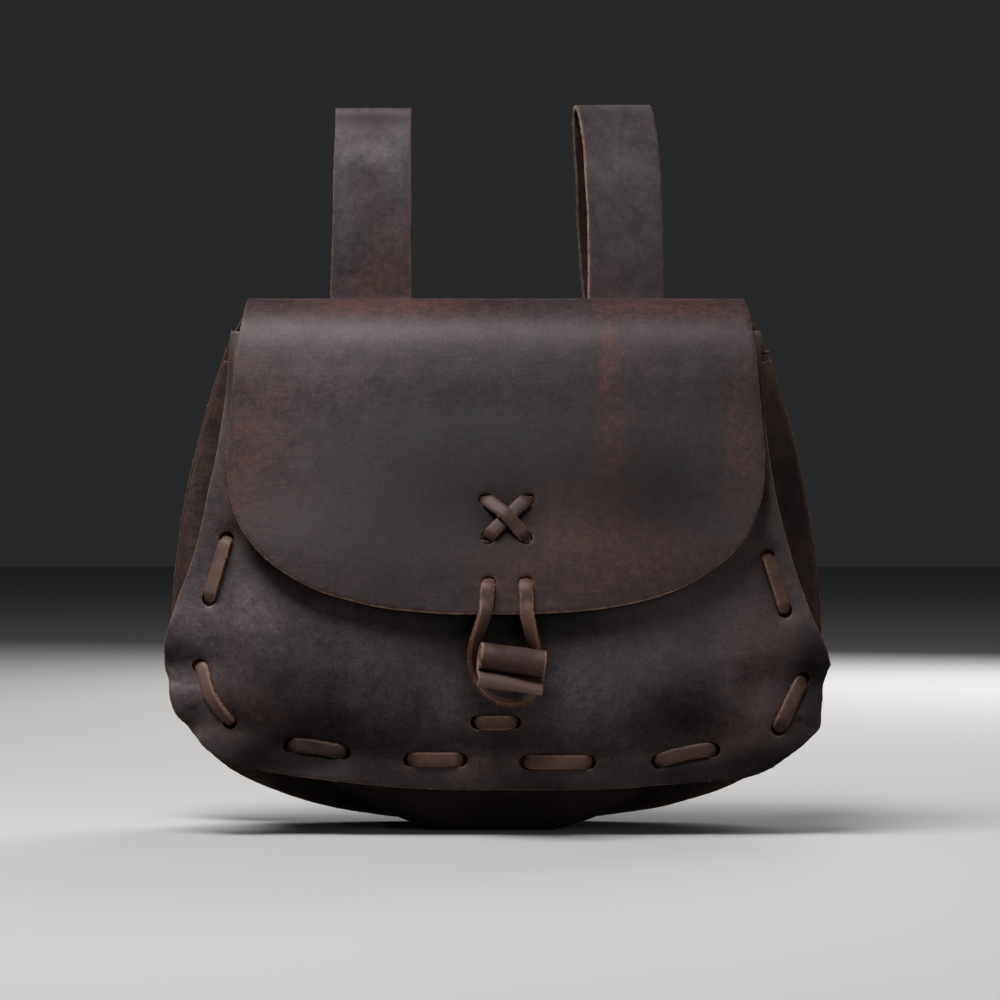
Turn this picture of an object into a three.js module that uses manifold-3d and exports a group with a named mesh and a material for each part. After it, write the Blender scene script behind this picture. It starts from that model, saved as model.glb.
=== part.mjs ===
// A leather waist bag that stands by itself: a back that folds over into a flap, a domed front, a gusset,
// two belt loops, thong lacing and a rolled toggle. Millimetres; X right, Y to the back, Z up from the floor.
import * as THREE from 'three';
import Module from 'manifold-3d';

const wasm = await Module();
wasm.setup();

const { lerp, smoothstep, clamp, degToRad } = THREE.MathUtils;

// Leather and thong.
const LEATHER = 2.0;
const GAP = 0.6;
const LACE = { width: 5.3, thickness: 1.8, air: 0.7, domeAir: 0.25, bend: 1.3, lift: 0.4 };
const LOOP_THONG = { ...LACE, width: 4.6 };
const HOLE_RADIUS = 3.7;
const LOOP_HOLE_RADIUS = 3.2;
const HOLE_SIDES = 6;

// Panels seen from the front. Below the widest line the edge is a superellipse. Corner is where a grid turns.
const FRONT = {
  halfWidth: 119.9,
  widestZ: 64.3,
  topHalfWidth: 98,
  topZ: 183.1,
  bottomZ: 16.2,
  power: 3.15,
  sideBow: -15,
  corner: 98,
};
const BACK = {
  halfWidth: 122.3,
  widestZ: 62,
  topHalfWidth: 101.2,
  topZ: 180,
  bottomZ: 0,
  power: 2.45,
  sideBow: 21,
  corner: 94,
};
const BACK_Y = 33;

// How finely the panels are divided.
const EDGE_STEPS = { corner: 12, side: 6, flap: 10, samples: 300 };
const CURVE_DIVISIONS = 800;
const FRONT_GRID = { across: 18, ease: 1.3, down: 15, downEase: 1.25 };
const BACK_GRID = { across: 12, ease: 1.25 };
const SLOPE_STEP = 0.6;

// Depth of the front panel's middle layer: at its rim and at its crown, by height.
const FRONT_DEPTH = [
  { z: 16, rim: -38.5, crown: -38.5 },
  { z: 30, rim: -38, crown: -38.5 },
  { z: 40, rim: -37, crown: -42.3 },
  { z: 50, rim: -35.6, crown: -44 },
  { z: 68, rim: -33, crown: -44 },
  { z: 84, rim: -30, crown: -41.4 },
  { z: 100, rim: -26.6, crown: -36.2 },
  { z: 124, rim: -21, crown: -26 },
  { z: 150, rim: -13, crown: -16 },
  { z: 183.1, rim: -2, crown: -2.5 },
];
const CROWN_POWER = 2.2;
const SEAM_INSET = 12;

// Dents of the front panel: where they are, how deep and how wide.
const DENTS = [
  { x: -66, z: 44, depth: 4, reach: 14 },
  { x: 66, z: 44, depth: 4, reach: 14 },
  { x: -96, z: 58, depth: 3, reach: 12 },
  { x: 97, z: 55, depth: 3, reach: 12 },
  { x: 0, z: 43, depth: 2.5, reach: 16 },
  { x: -40, z: 52, depth: -2, reach: 18 },
  { x: 42, z: 52, depth: -2, reach: 18 },
];

// Waves of the front margin: they swell between the stitches of the lower corners.
const WAVE_WIDTH = 16;
const WAVES = [
  { along: -92, swell: 2.0, reach: 11 },
  { along: -125, swell: 1.6, reach: 12 },
  { along: -155, swell: -1.8, reach: 12 },
  { along: 94, swell: 1.8, reach: 11 },
  { along: 122, swell: 1.4, reach: 12 },
  { along: 150, swell: -1.6, reach: 12 },
];

// Stitches on the front, by distance along the edge from the middle of the bottom, left negative.
const FRONT_STITCHES = [
  { from: -238, to: -214, inset: 11.5 },
  { from: -192, to: -169.5, inset: 11 },
  { from: -144, to: -106, inset: 12 },
  { from: -79, to: -54, inset: 12 },
  { from: -33, to: -11, inset: 11 },
  { from: 10, to: 36, inset: 10 },
  { from: 57.5, to: 83, inset: 9 },
  { from: 106, to: 138, inset: 8.5 },
  { from: 162, to: 186, inset: 10.5 },
  { from: 209, to: 233, inset: 11 },
];
const BACK_STITCHES = { count: 7, length: 30, pitch: 68, inset: 14.5 };
const LACE_END = { along: 258, leftInset: 11.5, rightInset: 11 };
const BACK_LACE_END = 246;

// How far a punch reaches below and above the middle layer that it goes through.
const PUNCH = {
  seam: { below: 6, above: 4 },
  sheet: { below: 3, above: 3 },
  strap: { below: 3, above: 9 },
};

// The gusset's cross-section: flanges by inset, then the wall by its share of the way from front to back.
const FLANGE = { edge: 1, seam: 12, bend: 17, backBend: 20 };
const GUSSET_WALL = { inset: 20, backInset: 23, setBack: 7, mouth: 0.012, sections: 46 };
const GUSSET_BELLY = [
  { share: 0, bulge: 0, drop: 0 },
  { share: 0.13, bulge: 3, drop: 0.62 },
  { share: 0.3, bulge: 5, drop: 1 },
  { share: 0.74, bulge: 5, drop: 1 },
  { share: 0.9, bulge: 3, drop: 0.7 },
  { share: 1, bulge: 0, drop: 0 },
];
const FLOOR_REST = { full: 30, none: 100, turnFrom: 0.5, turnTo: 0.9, press: 0.3 };

// The flap and its fold: the middle layer's profile from the tip up, over the top and down to the flat back.
const FLAP_PROFILE = [
  { y: -50, z: 80 },
  { y: -43, z: 100 },
  { y: -31.5, z: 124 },
  { y: -21, z: 150 },
  { y: -15, z: 168 },
  { y: -8, z: 183 },
  { y: 1.5, z: 191.8 },
  { y: 12, z: 194.9 },
  { y: 23, z: 193 },
  { y: 30.4, z: 187.4 },
  { y: 33, z: 179 },
];
const FLAP = { halfWidth: 97.8, length: 64, power: 2.65, corner: 77.5 };
const FOLD_WIDTHS = [
  { along: 100, halfWidth: 95.4 },
  { along: 134, halfWidth: 92 },
  { along: 149, halfWidth: 93.6 },
];
const FLAP_CROWN = [
  { along: 0, crown: 8 },
  { along: 30, crown: 4.5 },
  { along: 64, crown: 1.5 },
  { along: 100, crown: 0 },
];
const FLAP_ROWS = [
  { until: 0.28, rows: 7 },
  { until: 0.52, rows: 10 },
  { until: 1, rows: 6 },
];

// The closing thong: its crossing on the flap and its hanging loop. Turn is how far its face looks inward.
const CLOSURE = {
  x: 3.85,
  topAlong: 46,
  topHalf: 8.5,
  midAlong: 28.5,
  midHalf: 7.6,
  lowAlong: 12.2,
  lowHalf: 6.6,
  crossing: 2.4,
  straight: 0.1,
  tail: 6,
  below: 4,
};
const HANGING_LOOP = [
  { x: 11.2, y: -53.6, z: 84, turn: 10 },
  { x: 13.4, y: -54.4, z: 78, turn: 30 },
  { x: 16.6, y: -52, z: 71, turn: 65 },
  { x: 19.6, y: -49.4, z: 64, turn: 85 },
  { x: 19.2, y: -48.4, z: 57, turn: 90 },
  { x: 14.6, y: -48.2, z: 50.4, turn: 90 },
  { x: 8.4, y: -48.2, z: 48, turn: 90 },
  { x: 0.6, y: -48.2, z: 48.2, turn: 90 },
  { x: -5.4, y: -48.2, z: 51.8, turn: 90 },
  { x: -9, y: -48.6, z: 58, turn: 90 },
  { x: -9.8, y: -49.6, z: 65, turn: 80 },
  { x: -8, y: -52.6, z: 73, turn: 55 },
  { x: -5.4, y: -54.2, z: 80, turn: 25 },
  { x: -3.4, y: -53.4, z: 85, turn: 10 },
];

// The toggle: a strip rolled outward from its core, front to top to back, with its free end hanging below.
const TOGGLE = { x: 5.7, y: -58.6, z: 63.5, length: 23.5, thickness: 1.8, tilt: 8, sections: 24 };
const TOGGLE_ROLL = [
  { turn: 0, radius: 1.9 },
  { turn: 0.5, radius: 2.9 },
  { turn: 1, radius: 4.0 },
  { turn: 1.25, radius: 4.4 },
  { turn: 1.5, radius: 5.4 },
  { turn: 1.75, radius: 9.0 },
  { turn: 1.87, radius: 10.3 },
];
const CENTRE_STITCH = { z: 41, left: -8.6, right: 9.0, tail: 6.9, under: 5.75 };
const TOGGLE_THONG = { x: 4.6, start: 1.4, top: 58.6, bottom: 36, rows: 4, air: 0.55 };
const TOGGLE_SLOT = { width: 6, from: 1, to: 10 };

// Belt loops: the strap's middle line from its front end over the crown to its rear end.
const STRAP = { width: 30.7, pivotY: 42.8, turnFrom: 184, turnTo: 235 };
const LOOP_PROFILE = [
  { y: 35.5, z: 142 },
  { y: 35.5, z: 184 },
  { y: 35.8, z: 200 },
  { y: 36.6, z: 225 },
  { y: 37.1, z: 250 },
  { y: 37.6, z: 262 },
  { y: 38.6, z: 266.4 },
  { y: 41, z: 268 },
  { y: 45, z: 268 },
  { y: 47.4, z: 266.4 },
  { y: 48.4, z: 262 },
  { y: 48.5, z: 250 },
  { y: 47.5, z: 225 },
  { y: 44.6, z: 205 },
  { y: 40.8, z: 192 },
  { y: 38.2, z: 183 },
  { y: 38, z: 142 },
];
const LOOPS = {
  left: { x: -47.6, lean: 0, turn: 0, rise: 0 },
  right: { x: 49.3, lean: -4.9, turn: 21, rise: 2 },
};
const LOOP_LACE = { half: 8, low: 150, high: 168, over: 7.4, crossing: 2.3, tail: 6 };

const LOOKS = {
  leather: { color: 0x3d3331, roughness: 0.55, metalness: 0 },
  gusset: { color: 0x352a27, roughness: 0.6, metalness: 0 },
  strap: { color: 0x423430, roughness: 0.6, metalness: 0 },
  thong: { color: 0x54423a, roughness: 0.65, metalness: 0 },
  toggle: { color: 0x4a3a34, roughness: 0.6, metalness: 0 },
};

// The corners of a strip's section, by the side of its width and of its thickness.
const CORNERS = [[1, 1], [-1, 1], [-1, -1], [1, -1]];

// A table column at a key, smooth through every row.
function smooth(rows, key, column, at) {
  const last = rows.length - 1;
  const place = clamp(at, rows[0][key], rows[last][key]);
  let i = 0;
  while (i < last - 1 && place > rows[i + 1][key]) i += 1;
  const slope = (k) => {
    const low = rows[Math.max(k - 1, 0)];
    const high = rows[Math.min(k + 1, last)];
    return (high[column] - low[column]) / (high[key] - low[key]);
  };
  const run = rows[i + 1][key] - rows[i][key];
  const rise = rows[i + 1][column] - rows[i][column];
  const t = (place - rows[i][key]) / run;
  const start = slope(i) * run - rise;
  const end = rise - slope(i + 1) * run;
  return rows[i][column] + t * rise + t * (1 - t) * (start * (1 - t) + end * t);
}

// A closed solid from points and triangles, turned so that its faces look out.
function solid(points, faces) {
  let volume = 0;
  for (const [a, b, c] of faces) {
    volume += points[a].dot(new THREE.Vector3().crossVectors(points[b], points[c]));
  }
  const geometry = new THREE.BufferGeometry();
  const numbers = points.flatMap((point) => point.toArray());
  geometry.setAttribute('position', new THREE.Float32BufferAttribute(numbers, 3));
  geometry.setIndex(faces.flatMap(([a, b, c]) => (volume < 0 ? [a, c, b] : [a, b, c])));
  return geometry;
}

// A closed solid through rings of equal count, capped at both ends.
function loft(rings) {
  const count = rings[0].length;
  const faces = [];
  for (let r = 0; r + 1 < rings.length; r += 1) {
    for (let k = 0; k < count; k += 1) {
      const a = r * count + k;
      const b = r * count + ((k + 1) % count);
      faces.push([a, b, b + count], [a, b + count, a + count]);
    }
  }
  const end = (rings.length - 1) * count;
  for (let k = 1; k + 1 < count; k += 1) {
    faces.push([0, k + 1, k], [end, end + k, end + k + 1]);
  }
  return solid(rings.flat(), faces);
}

// The direction across a grid of points at one of them.
function gridNormal(rows, r, c) {
  const low = Math.max(r - 1, 0);
  const high = Math.min(r + 1, rows.length - 1);
  const left = Math.max(c - 1, 0);
  const right = Math.min(c + 1, rows[r].length - 1);
  const down = rows[high][c].clone().sub(rows[low][c]);
  const across = rows[r][right].clone().sub(rows[r][left]);
  return across.cross(down).normalize();
}

// A sheet of even thickness on a grid of its middle points.
function sheet(rows, thickness) {
  const wide = rows[0].length;
  const layer = rows.length * wide;
  const points = [];
  for (const side of [0.5, -0.5]) {
    rows.forEach((row, r) => row.forEach((point, c) => {
      points.push(point.clone().addScaledVector(gridNormal(rows, r, c), side * thickness));
    }));
  }
  const faces = [];
  const quad = (a, b, c, d) => faces.push([a, b, c], [a, c, d]);
  for (let r = 0; r + 1 < rows.length; r += 1) {
    for (let c = 0; c + 1 < wide; c += 1) {
      const a = r * wide + c;
      quad(a, a + wide, a + wide + 1, a + 1);
      quad(layer + a, layer + a + 1, layer + a + wide + 1, layer + a + wide);
    }
  }
  for (let c = 0; c + 1 < wide; c += 1) {
    const end = layer - wide + c;
    quad(c, c + 1, layer + c + 1, layer + c);
    quad(end + 1, end, layer + end, layer + end + 1);
  }
  for (let r = 0; r + 1 < rows.length; r += 1) {
    const left = r * wide;
    const right = left + wide - 1;
    quad(left + wide, left, layer + left, layer + left + wide);
    quad(right, right + wide, layer + right + wide, layer + right);
  }
  return solid(points, faces);
}

// A flat strip of leather through sections that each have a place and the direction of their width.
function ribbon(sections, width, thickness) {
  const last = sections.length - 1;
  const rings = sections.map((section, i) => {
    const before = sections[Math.max(i - 1, 0)].at;
    const along = sections[Math.min(i + 1, last)].at.clone().sub(before).normalize();
    const wide = section.wide.clone().addScaledVector(along, -section.wide.dot(along)).normalize();
    const out = along.cross(wide);
    return CORNERS.map(([w, t]) => section.at.clone()
      .addScaledVector(wide, w * width / 2)
      .addScaledVector(out, t * thickness / 2));
  });
  return loft(rings);
}

function toManifold(geometry) {
  return new wasm.Manifold(new wasm.Mesh({
    numProp: 3,
    vertProperties: new Float32Array(geometry.getAttribute('position').array),
    triVerts: new Uint32Array(geometry.getIndex().array),
  }));
}

// The geometry with every tool taken away from it.
function cut(geometry, tools) {
  let body = toManifold(geometry);
  for (const tool of tools) body = body.subtract(toManifold(tool));
  const mesh = body.getMesh();
  const result = new THREE.BufferGeometry();
  result.setAttribute('position', new THREE.Float32BufferAttribute(mesh.vertProperties, 3));
  result.setIndex(Array.from(mesh.triVerts));
  return result;
}

// A prism that punches a hole through a surface as far as its reach says.
function punch(surface, spot, radius, reach) {
  const foot = surface(spot.x, spot.y, 0);
  const axis = surface(spot.x, spot.y, 1).sub(foot).normalize();
  const across = new THREE.Vector3(1, 0, 0).addScaledVector(axis, -axis.x).normalize();
  const up = axis.clone().cross(across);
  const rings = [-reach.below, reach.above].map((height) => Array.from({ length: HOLE_SIDES }, (_, k) => {
    const angle = 2 * Math.PI * k / HOLE_SIDES;
    return foot.clone().addScaledVector(axis, height)
      .addScaledVector(across, radius * Math.cos(angle))
      .addScaledVector(up, radius * Math.sin(angle));
  }));
  return loft(rings);
}

// Sections of a thong from stop to stop, by turns over and under a surface, with a hole at each inner stop.
function lacePath(surface, stops, lace, over, under, startsOver) {
  const sections = [];
  const station = (spot, way, height) => {
    const ahead = spot.clone().addScaledVector(way, SLOPE_STEP);
    const behind = spot.clone().addScaledVector(way, -SLOPE_STEP);
    const along = surface(ahead.x, ahead.y, 0).sub(surface(behind.x, behind.y, 0));
    const out = surface(spot.x, spot.y, 1).sub(surface(spot.x, spot.y, 0));
    const wide = along.cross(out).normalize();
    if (sections.length > 0 && wide.dot(sections.at(-1).wide) < 0) wide.negate();
    sections.push({ at: surface(spot.x, spot.y, height), wide });
  };
  const lastRun = stops.length - 2;
  for (let k = 0; k <= lastRun; k += 1) {
    const [start, end] = [stops[k], stops[k + 1]];
    const way = end.clone().sub(start).normalize();
    const side = (k % 2 === 0) === startsOver ? 1 : -1;
    const height = side > 0 ? over : -under;
    const middle = start.clone().add(end).multiplyScalar(0.5);
    if (k > 0) station(start, way, height - side * lace.bend);
    station(start.clone().addScaledVector(way, k > 0 ? lace.bend : 0), way, height);
    station(middle, way, height + (side > 0 ? lace.lift : 0));
    station(end.clone().addScaledVector(way, k < lastRun ? -lace.bend : 0), way, height);
    if (k < lastRun) station(end, way, height - side * lace.bend);
  }
  return sections;
}

// Values from -1 to 1 that lie closer together toward both ends.
function spread(count, ease) {
  return Array.from({ length: count + 1 }, (_, i) => {
    const k = 2 * i / count - 1;
    return Math.sign(k) * (1 - (1 - Math.abs(k)) ** ease);
  });
}

// A grid of flat points filled in between a sheet's two ends and its mirrored sides.
function patch(low, high, side, across, down) {
  const [cornerLow, cornerHigh] = [low(1), high(1)];
  return down.map((v) => across.map((k) => {
    const sideAt = side(v);
    const x = lerp(low(k).x, high(k).x, v) + k * (sideAt.x - lerp(cornerLow.x, cornerHigh.x, v));
    const y = lerp(low(k).y, high(k).y, v) + sideAt.y - lerp(cornerLow.y, cornerHigh.y, v);
    return new THREE.Vector2(x, y);
  }));
}

// A point on the superellipse corner of a panel, from the middle of its end (0) to its widest line (1).
function cornerPoint(halfWidth, drop, power, share) {
  const angle = share * Math.PI / 2;
  return new THREE.Vector2(
    halfWidth * Math.sin(angle) ** (2 / power),
    drop * (1 - Math.cos(angle) ** (2 / power)),
  );
}

function sideHalfWidth(panel, z) {
  const t = (z - panel.widestZ) / (panel.topZ - panel.widestZ);
  return lerp(panel.halfWidth, panel.topHalfWidth, t) + panel.sideBow * t * (1 - t);
}

// The right half of a panel's edge, from the middle of the bottom up to the top.
function rightEdge(panel) {
  const points = [];
  for (let i = 0; i <= EDGE_STEPS.corner; i += 1) {
    const share = i / EDGE_STEPS.corner;
    const point = cornerPoint(panel.halfWidth, panel.widestZ - panel.bottomZ, panel.power, share);
    points.push(new THREE.Vector2(point.x, panel.bottomZ + point.y));
  }
  for (let i = 1; i <= EDGE_STEPS.side; i += 1) {
    const z = lerp(panel.widestZ, panel.topZ, i / EDGE_STEPS.side);
    points.push(new THREE.Vector2(sideHalfWidth(panel, z), z));
  }
  return points;
}

// The whole edge as one curve from the top left round the bottom to the top right.
function edgeCurve(panel) {
  const right = rightEdge(panel);
  const left = right.slice(1).reverse().map((point) => new THREE.Vector2(-point.x, point.y));
  const curve = new THREE.SplineCurve([...left, ...right]);
  curve.arcLengthDivisions = CURVE_DIVISIONS;
  return curve;
}

const frontEdge = edgeCurve(FRONT);
const backEdge = edgeCurve(BACK);
const frontLength = frontEdge.getLength();
const backLength = backEdge.getLength();
const frontEdgePoints = frontEdge.getSpacedPoints(EDGE_STEPS.samples);

// A point in from an edge, by its share along the edge from the middle of the bottom.
function insetPoint(edge, share, inset) {
  const place = clamp(share + 0.5, 0, 1);
  const along = edge.getTangentAt(place);
  return edge.getPointAt(place).add(new THREE.Vector2(-along.y, along.x).multiplyScalar(inset));
}

function frontSeam(along, inset) {
  return insetPoint(frontEdge, along / frontLength, inset);
}

function backSeam(along, inset) {
  return insetPoint(backEdge, along / backLength, inset);
}

// How far the front margin waves forward at a place, from where it lies along the edge and how near it is.
function marginWave(x, z) {
  let nearest = Infinity;
  let index = 0;
  frontEdgePoints.forEach((point, i) => {
    const distance = Math.hypot(point.x - x, point.y - z);
    if (distance < nearest) [nearest, index] = [distance, i];
  });
  const along = (index / (frontEdgePoints.length - 1) - 0.5) * frontLength;
  const nearness = 1 - smoothstep(nearest, 0, WAVE_WIDTH);
  return WAVES.reduce((sum, wave) => (
    sum + wave.swell * nearness * Math.exp(-(((along - wave.along) / wave.reach) ** 2))
  ), 0);
}

// Half the width inside the lacing at a height.
function seamHalfWidth(z) {
  if (z >= FRONT.widestZ) return sideHalfWidth(FRONT, z) - SEAM_INSET;
  const fall = (FRONT.widestZ - z) / (FRONT.widestZ - FRONT.bottomZ - SEAM_INSET);
  return (FRONT.halfWidth - SEAM_INSET) * Math.max(0, 1 - fall ** FRONT.power) ** (1 / FRONT.power);
}

// The y of the front panel's middle layer at a place seen from the front.
function frontDepth(x, z) {
  const rim = smooth(FRONT_DEPTH, 'z', 'rim', z);
  const crown = smooth(FRONT_DEPTH, 'z', 'crown', z);
  const out = Math.min(1, Math.abs(x) / Math.max(seamHalfWidth(z), 1));
  const dents = DENTS.reduce((sum, dent) => (
    sum + dent.depth * Math.exp(-((x - dent.x) ** 2 + (z - dent.z) ** 2) / dent.reach ** 2)
  ), 0);
  return lerp(rim, crown, 1 - out ** CROWN_POWER) + dents - marginWave(x, z);
}

// A point off the front panel's middle layer, at a height measured outward.
function frontSurface(x, z, height) {
  const riseX = frontDepth(x + SLOPE_STEP, z) - frontDepth(x - SLOPE_STEP, z);
  const riseZ = frontDepth(x, z + SLOPE_STEP) - frontDepth(x, z - SLOPE_STEP);
  const out = new THREE.Vector3(riseX, -2 * SLOPE_STEP, riseZ).normalize();
  return new THREE.Vector3(x, frontDepth(x, z), z).addScaledVector(out, height);
}

// A point off the back panel's middle layer, at a height measured to the rear.
function backSurface(x, z, height) {
  return new THREE.Vector3(x, BACK_Y + height, z);
}

const flapCurve = new THREE.SplineCurve(FLAP_PROFILE.map((row) => new THREE.Vector2(row.y, row.z)));
flapCurve.arcLengthDivisions = CURVE_DIVISIONS;
const flapLength = flapCurve.getLength();
const backDrop = FLAP_PROFILE.at(-1).z;

// A point off the middle layer of the back and flap, by its place across and along from the flap's tip.
function flapSurface(across, along, height) {
  if (along >= flapLength) return backSurface(across, backDrop - (along - flapLength), height);
  const place = clamp(along / flapLength, 0, 1);
  const at = flapCurve.getPointAt(place);
  const way = flapCurve.getTangentAt(place);
  const crown = smooth(FLAP_CROWN, 'along', 'crown', along) / FLAP.halfWidth ** 2;
  const out = new THREE.Vector3(2 * crown * across, -way.y, way.x).normalize();
  return new THREE.Vector3(across, at.x + crown * across ** 2, at.y).addScaledVector(out, height);
}

// The right half of the flat pattern of the back and flap, from the flap's tip to the bottom of the back.
function patternEdge() {
  const points = [];
  for (let i = 0; i <= EDGE_STEPS.flap; i += 1) {
    points.push(cornerPoint(FLAP.halfWidth, FLAP.length, FLAP.power, i / EDGE_STEPS.flap));
  }
  for (const row of FOLD_WIDTHS) points.push(new THREE.Vector2(row.halfWidth, row.along));
  for (const point of rightEdge(BACK).reverse()) {
    points.push(new THREE.Vector2(point.x, flapLength + backDrop - point.y));
  }
  const curve = new THREE.SplineCurve(points);
  curve.arcLengthDivisions = CURVE_DIVISIONS;
  return curve;
}

function mirrored(point, side) {
  return new THREE.Vector2(Math.sign(side) * point.x, point.y);
}

function backAndFlap() {
  const edge = patternEdge();
  const total = edge.getLength();
  const low = (k) => mirrored(edge.getPointAt(Math.abs(k) * FLAP.corner / total), k);
  const high = (k) => mirrored(edge.getPointAt(1 - Math.abs(k) * BACK.corner / total), k);
  const side = (v) => edge.getPointAt(lerp(FLAP.corner, total - BACK.corner, v) / total);
  const down = [0];
  for (const part of FLAP_ROWS) {
    const start = down.at(-1);
    for (let i = 1; i <= part.rows; i += 1) down.push(lerp(start, part.until, i / part.rows));
  }
  const flat = patch(low, high, side, spread(BACK_GRID.across, BACK_GRID.ease), down);
  const rows = flat.map((row) => row.map((spot) => flapSurface(spot.x, spot.y, 0)));
  return cut(sheet(rows, LEATHER), [...flapPunches(), ...backPunches(), ...loopPunches()]);
}

function frontPanel() {
  const low = (k) => new THREE.Vector2(k * FRONT.topHalfWidth, FRONT.topZ);
  const high = (k) => frontSeam(k * FRONT.corner, 0);
  const side = (v) => frontSeam(lerp(frontLength / 2, FRONT.corner, v), 0);
  const { across, ease, down, downEase } = FRONT_GRID;
  const shares = Array.from({ length: down + 1 }, (_, i) => 1 - (1 - i / down) ** downEase);
  const flat = patch(low, high, side, spread(across, ease), shares);
  const rows = flat.map((row) => row.map((spot) => frontSurface(spot.x, spot.y, 0)));
  return cut(sheet(rows, LEATHER), [...frontPunches(), ...centrePunches()]);
}

// Middle points across the gusset, from its front flange's edge to its back flange's edge.
function gussetSection(share) {
  const under = LEATHER + GAP;
  const flange = (inset) => {
    const spot = insetPoint(frontEdge, share, inset);
    return frontSurface(spot.x, spot.y, -under);
  };
  const backFlange = (inset) => {
    const spot = insetPoint(backEdge, share, inset);
    return backSurface(spot.x, spot.y, -under);
  };
  const start = flange(GUSSET_WALL.inset);
  const end = backFlange(GUSSET_WALL.backInset);
  start.y += GUSSET_WALL.setBack;
  end.y -= GUSSET_WALL.setBack;
  const front = frontEdge.getTangentAt(share + 0.5);
  const back = backEdge.getTangentAt(share + 0.5);
  const along = front.add(back).normalize();
  const out = new THREE.Vector3(along.y, 0, -along.x);
  const below = smoothstep(along.x, FLOOR_REST.turnFrom, FLOOR_REST.turnTo);
  const toFloor = below * (1 - smoothstep(Math.abs(start.x), FLOOR_REST.full, FLOOR_REST.none));
  const wall = GUSSET_BELLY.map((row) => {
    const point = start.clone().lerp(end, row.share);
    const sag = row.drop * (point.z - LEATHER / 2);
    point.addScaledVector(out, row.bulge * (1 - toFloor));
    point.z -= sag * toFloor;
    return point;
  });
  return [
    flange(FLANGE.edge), flange(FLANGE.seam), flange(FLANGE.bend),
    ...wall,
    backFlange(FLANGE.backBend), backFlange(FLANGE.seam), backFlange(FLANGE.edge),
  ];
}

// The geometry with its lowest points pressed flat on the floor.
function pressFlat(geometry) {
  const position = geometry.getAttribute('position');
  for (let i = 0; i < position.count; i += 1) {
    if (position.getZ(i) < FLOOR_REST.press) position.setZ(i, 0);
  }
  return geometry;
}

function gusset() {
  const count = GUSSET_WALL.sections;
  const end = 0.5 - GUSSET_WALL.mouth;
  const rows = Array.from({ length: count + 1 }, (_, i) => gussetSection(lerp(-end, end, i / count)));
  return cut(pressFlat(sheet(rows, LEATHER)), [...frontPunches(), ...backPunches()]);
}

function frontHoles() {
  return FRONT_STITCHES.flatMap(({ from, to, inset }) => [frontSeam(from, inset), frontSeam(to, inset)]);
}

function backHoles() {
  const { count, length, pitch, inset } = BACK_STITCHES;
  return Array.from({ length: count }, (_, i) => (i - (count - 1) / 2) * pitch).flatMap((middle) => [
    backSeam(middle - length / 2, inset),
    backSeam(middle + length / 2, inset),
  ]);
}

function frontPunches() {
  return frontHoles().map((spot) => punch(frontSurface, spot, HOLE_RADIUS, PUNCH.seam));
}

function backPunches() {
  return backHoles().map((spot) => punch(backSurface, spot, HOLE_RADIUS, PUNCH.seam));
}

// Heights of a thong's middle over and under one or two layers of leather.
const overLeather = LEATHER / 2 + LACE.air + LACE.thickness / 2;
const underSeam = LEATHER + GAP + overLeather;

function frontLace() {
  const { along, leftInset, rightInset } = LACE_END;
  const stops = [frontSeam(-along, leftInset), ...frontHoles(), frontSeam(along, rightInset)];
  const sections = lacePath(frontSurface, stops, LACE, overLeather + LACE.domeAir, underSeam, false);
  return ribbon(sections, LACE.width, LACE.thickness);
}

function backLace() {
  const { inset } = BACK_STITCHES;
  const stops = [backSeam(-BACK_LACE_END, inset), ...backHoles(), backSeam(BACK_LACE_END, inset)];
  const sections = lacePath(backSurface, stops, LACE, overLeather, underSeam, false);
  return ribbon(sections, LACE.width, LACE.thickness);
}

// Holes of the closing thong in the flap: the crossing's four, then the loop's right and left one.
function flapHoles() {
  const at = (across, along) => new THREE.Vector2(CLOSURE.x + across, along);
  return {
    topLeft: at(-CLOSURE.topHalf, CLOSURE.topAlong),
    topRight: at(CLOSURE.topHalf, CLOSURE.topAlong),
    midLeft: at(-CLOSURE.midHalf, CLOSURE.midAlong),
    midRight: at(CLOSURE.midHalf, CLOSURE.midAlong),
    lowLeft: at(-CLOSURE.lowHalf, CLOSURE.lowAlong),
    lowRight: at(CLOSURE.lowHalf, CLOSURE.lowAlong),
  };
}

function flapPunches() {
  return Object.values(flapHoles()).map((spot) => punch(flapSurface, spot, LOOP_HOLE_RADIUS, PUNCH.sheet));
}

// The width of the hanging loop's thong: its face turns from looking forward to looking into the loop.
function hangingSections() {
  const places = HANGING_LOOP.map((row) => new THREE.Vector3(row.x, row.y, row.z));
  return places.map((at, i) => {
    const before = places[Math.max(i - 1, 0)];
    const along = places[Math.min(i + 1, places.length - 1)].clone().sub(before).normalize();
    const front = new THREE.Vector3(0, -1, 0).addScaledVector(along, along.y).normalize();
    const inward = along.clone().cross(front);
    const turn = degToRad(HANGING_LOOP[i].turn);
    const face = front.multiplyScalar(Math.cos(turn)).addScaledVector(inward, Math.sin(turn));
    return { at, wide: along.cross(face).normalize() };
  });
}

// Two thong ends joined in one list, with the widths of the second kept on the side of the first.
function joinSections(first, second) {
  const flip = first.at(-1).wide.dot(second[0].wide) < 0;
  return [...first, ...second.map(({ at, wide }) => ({ at, wide: flip ? wide.clone().negate() : wide }))];
}

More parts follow.
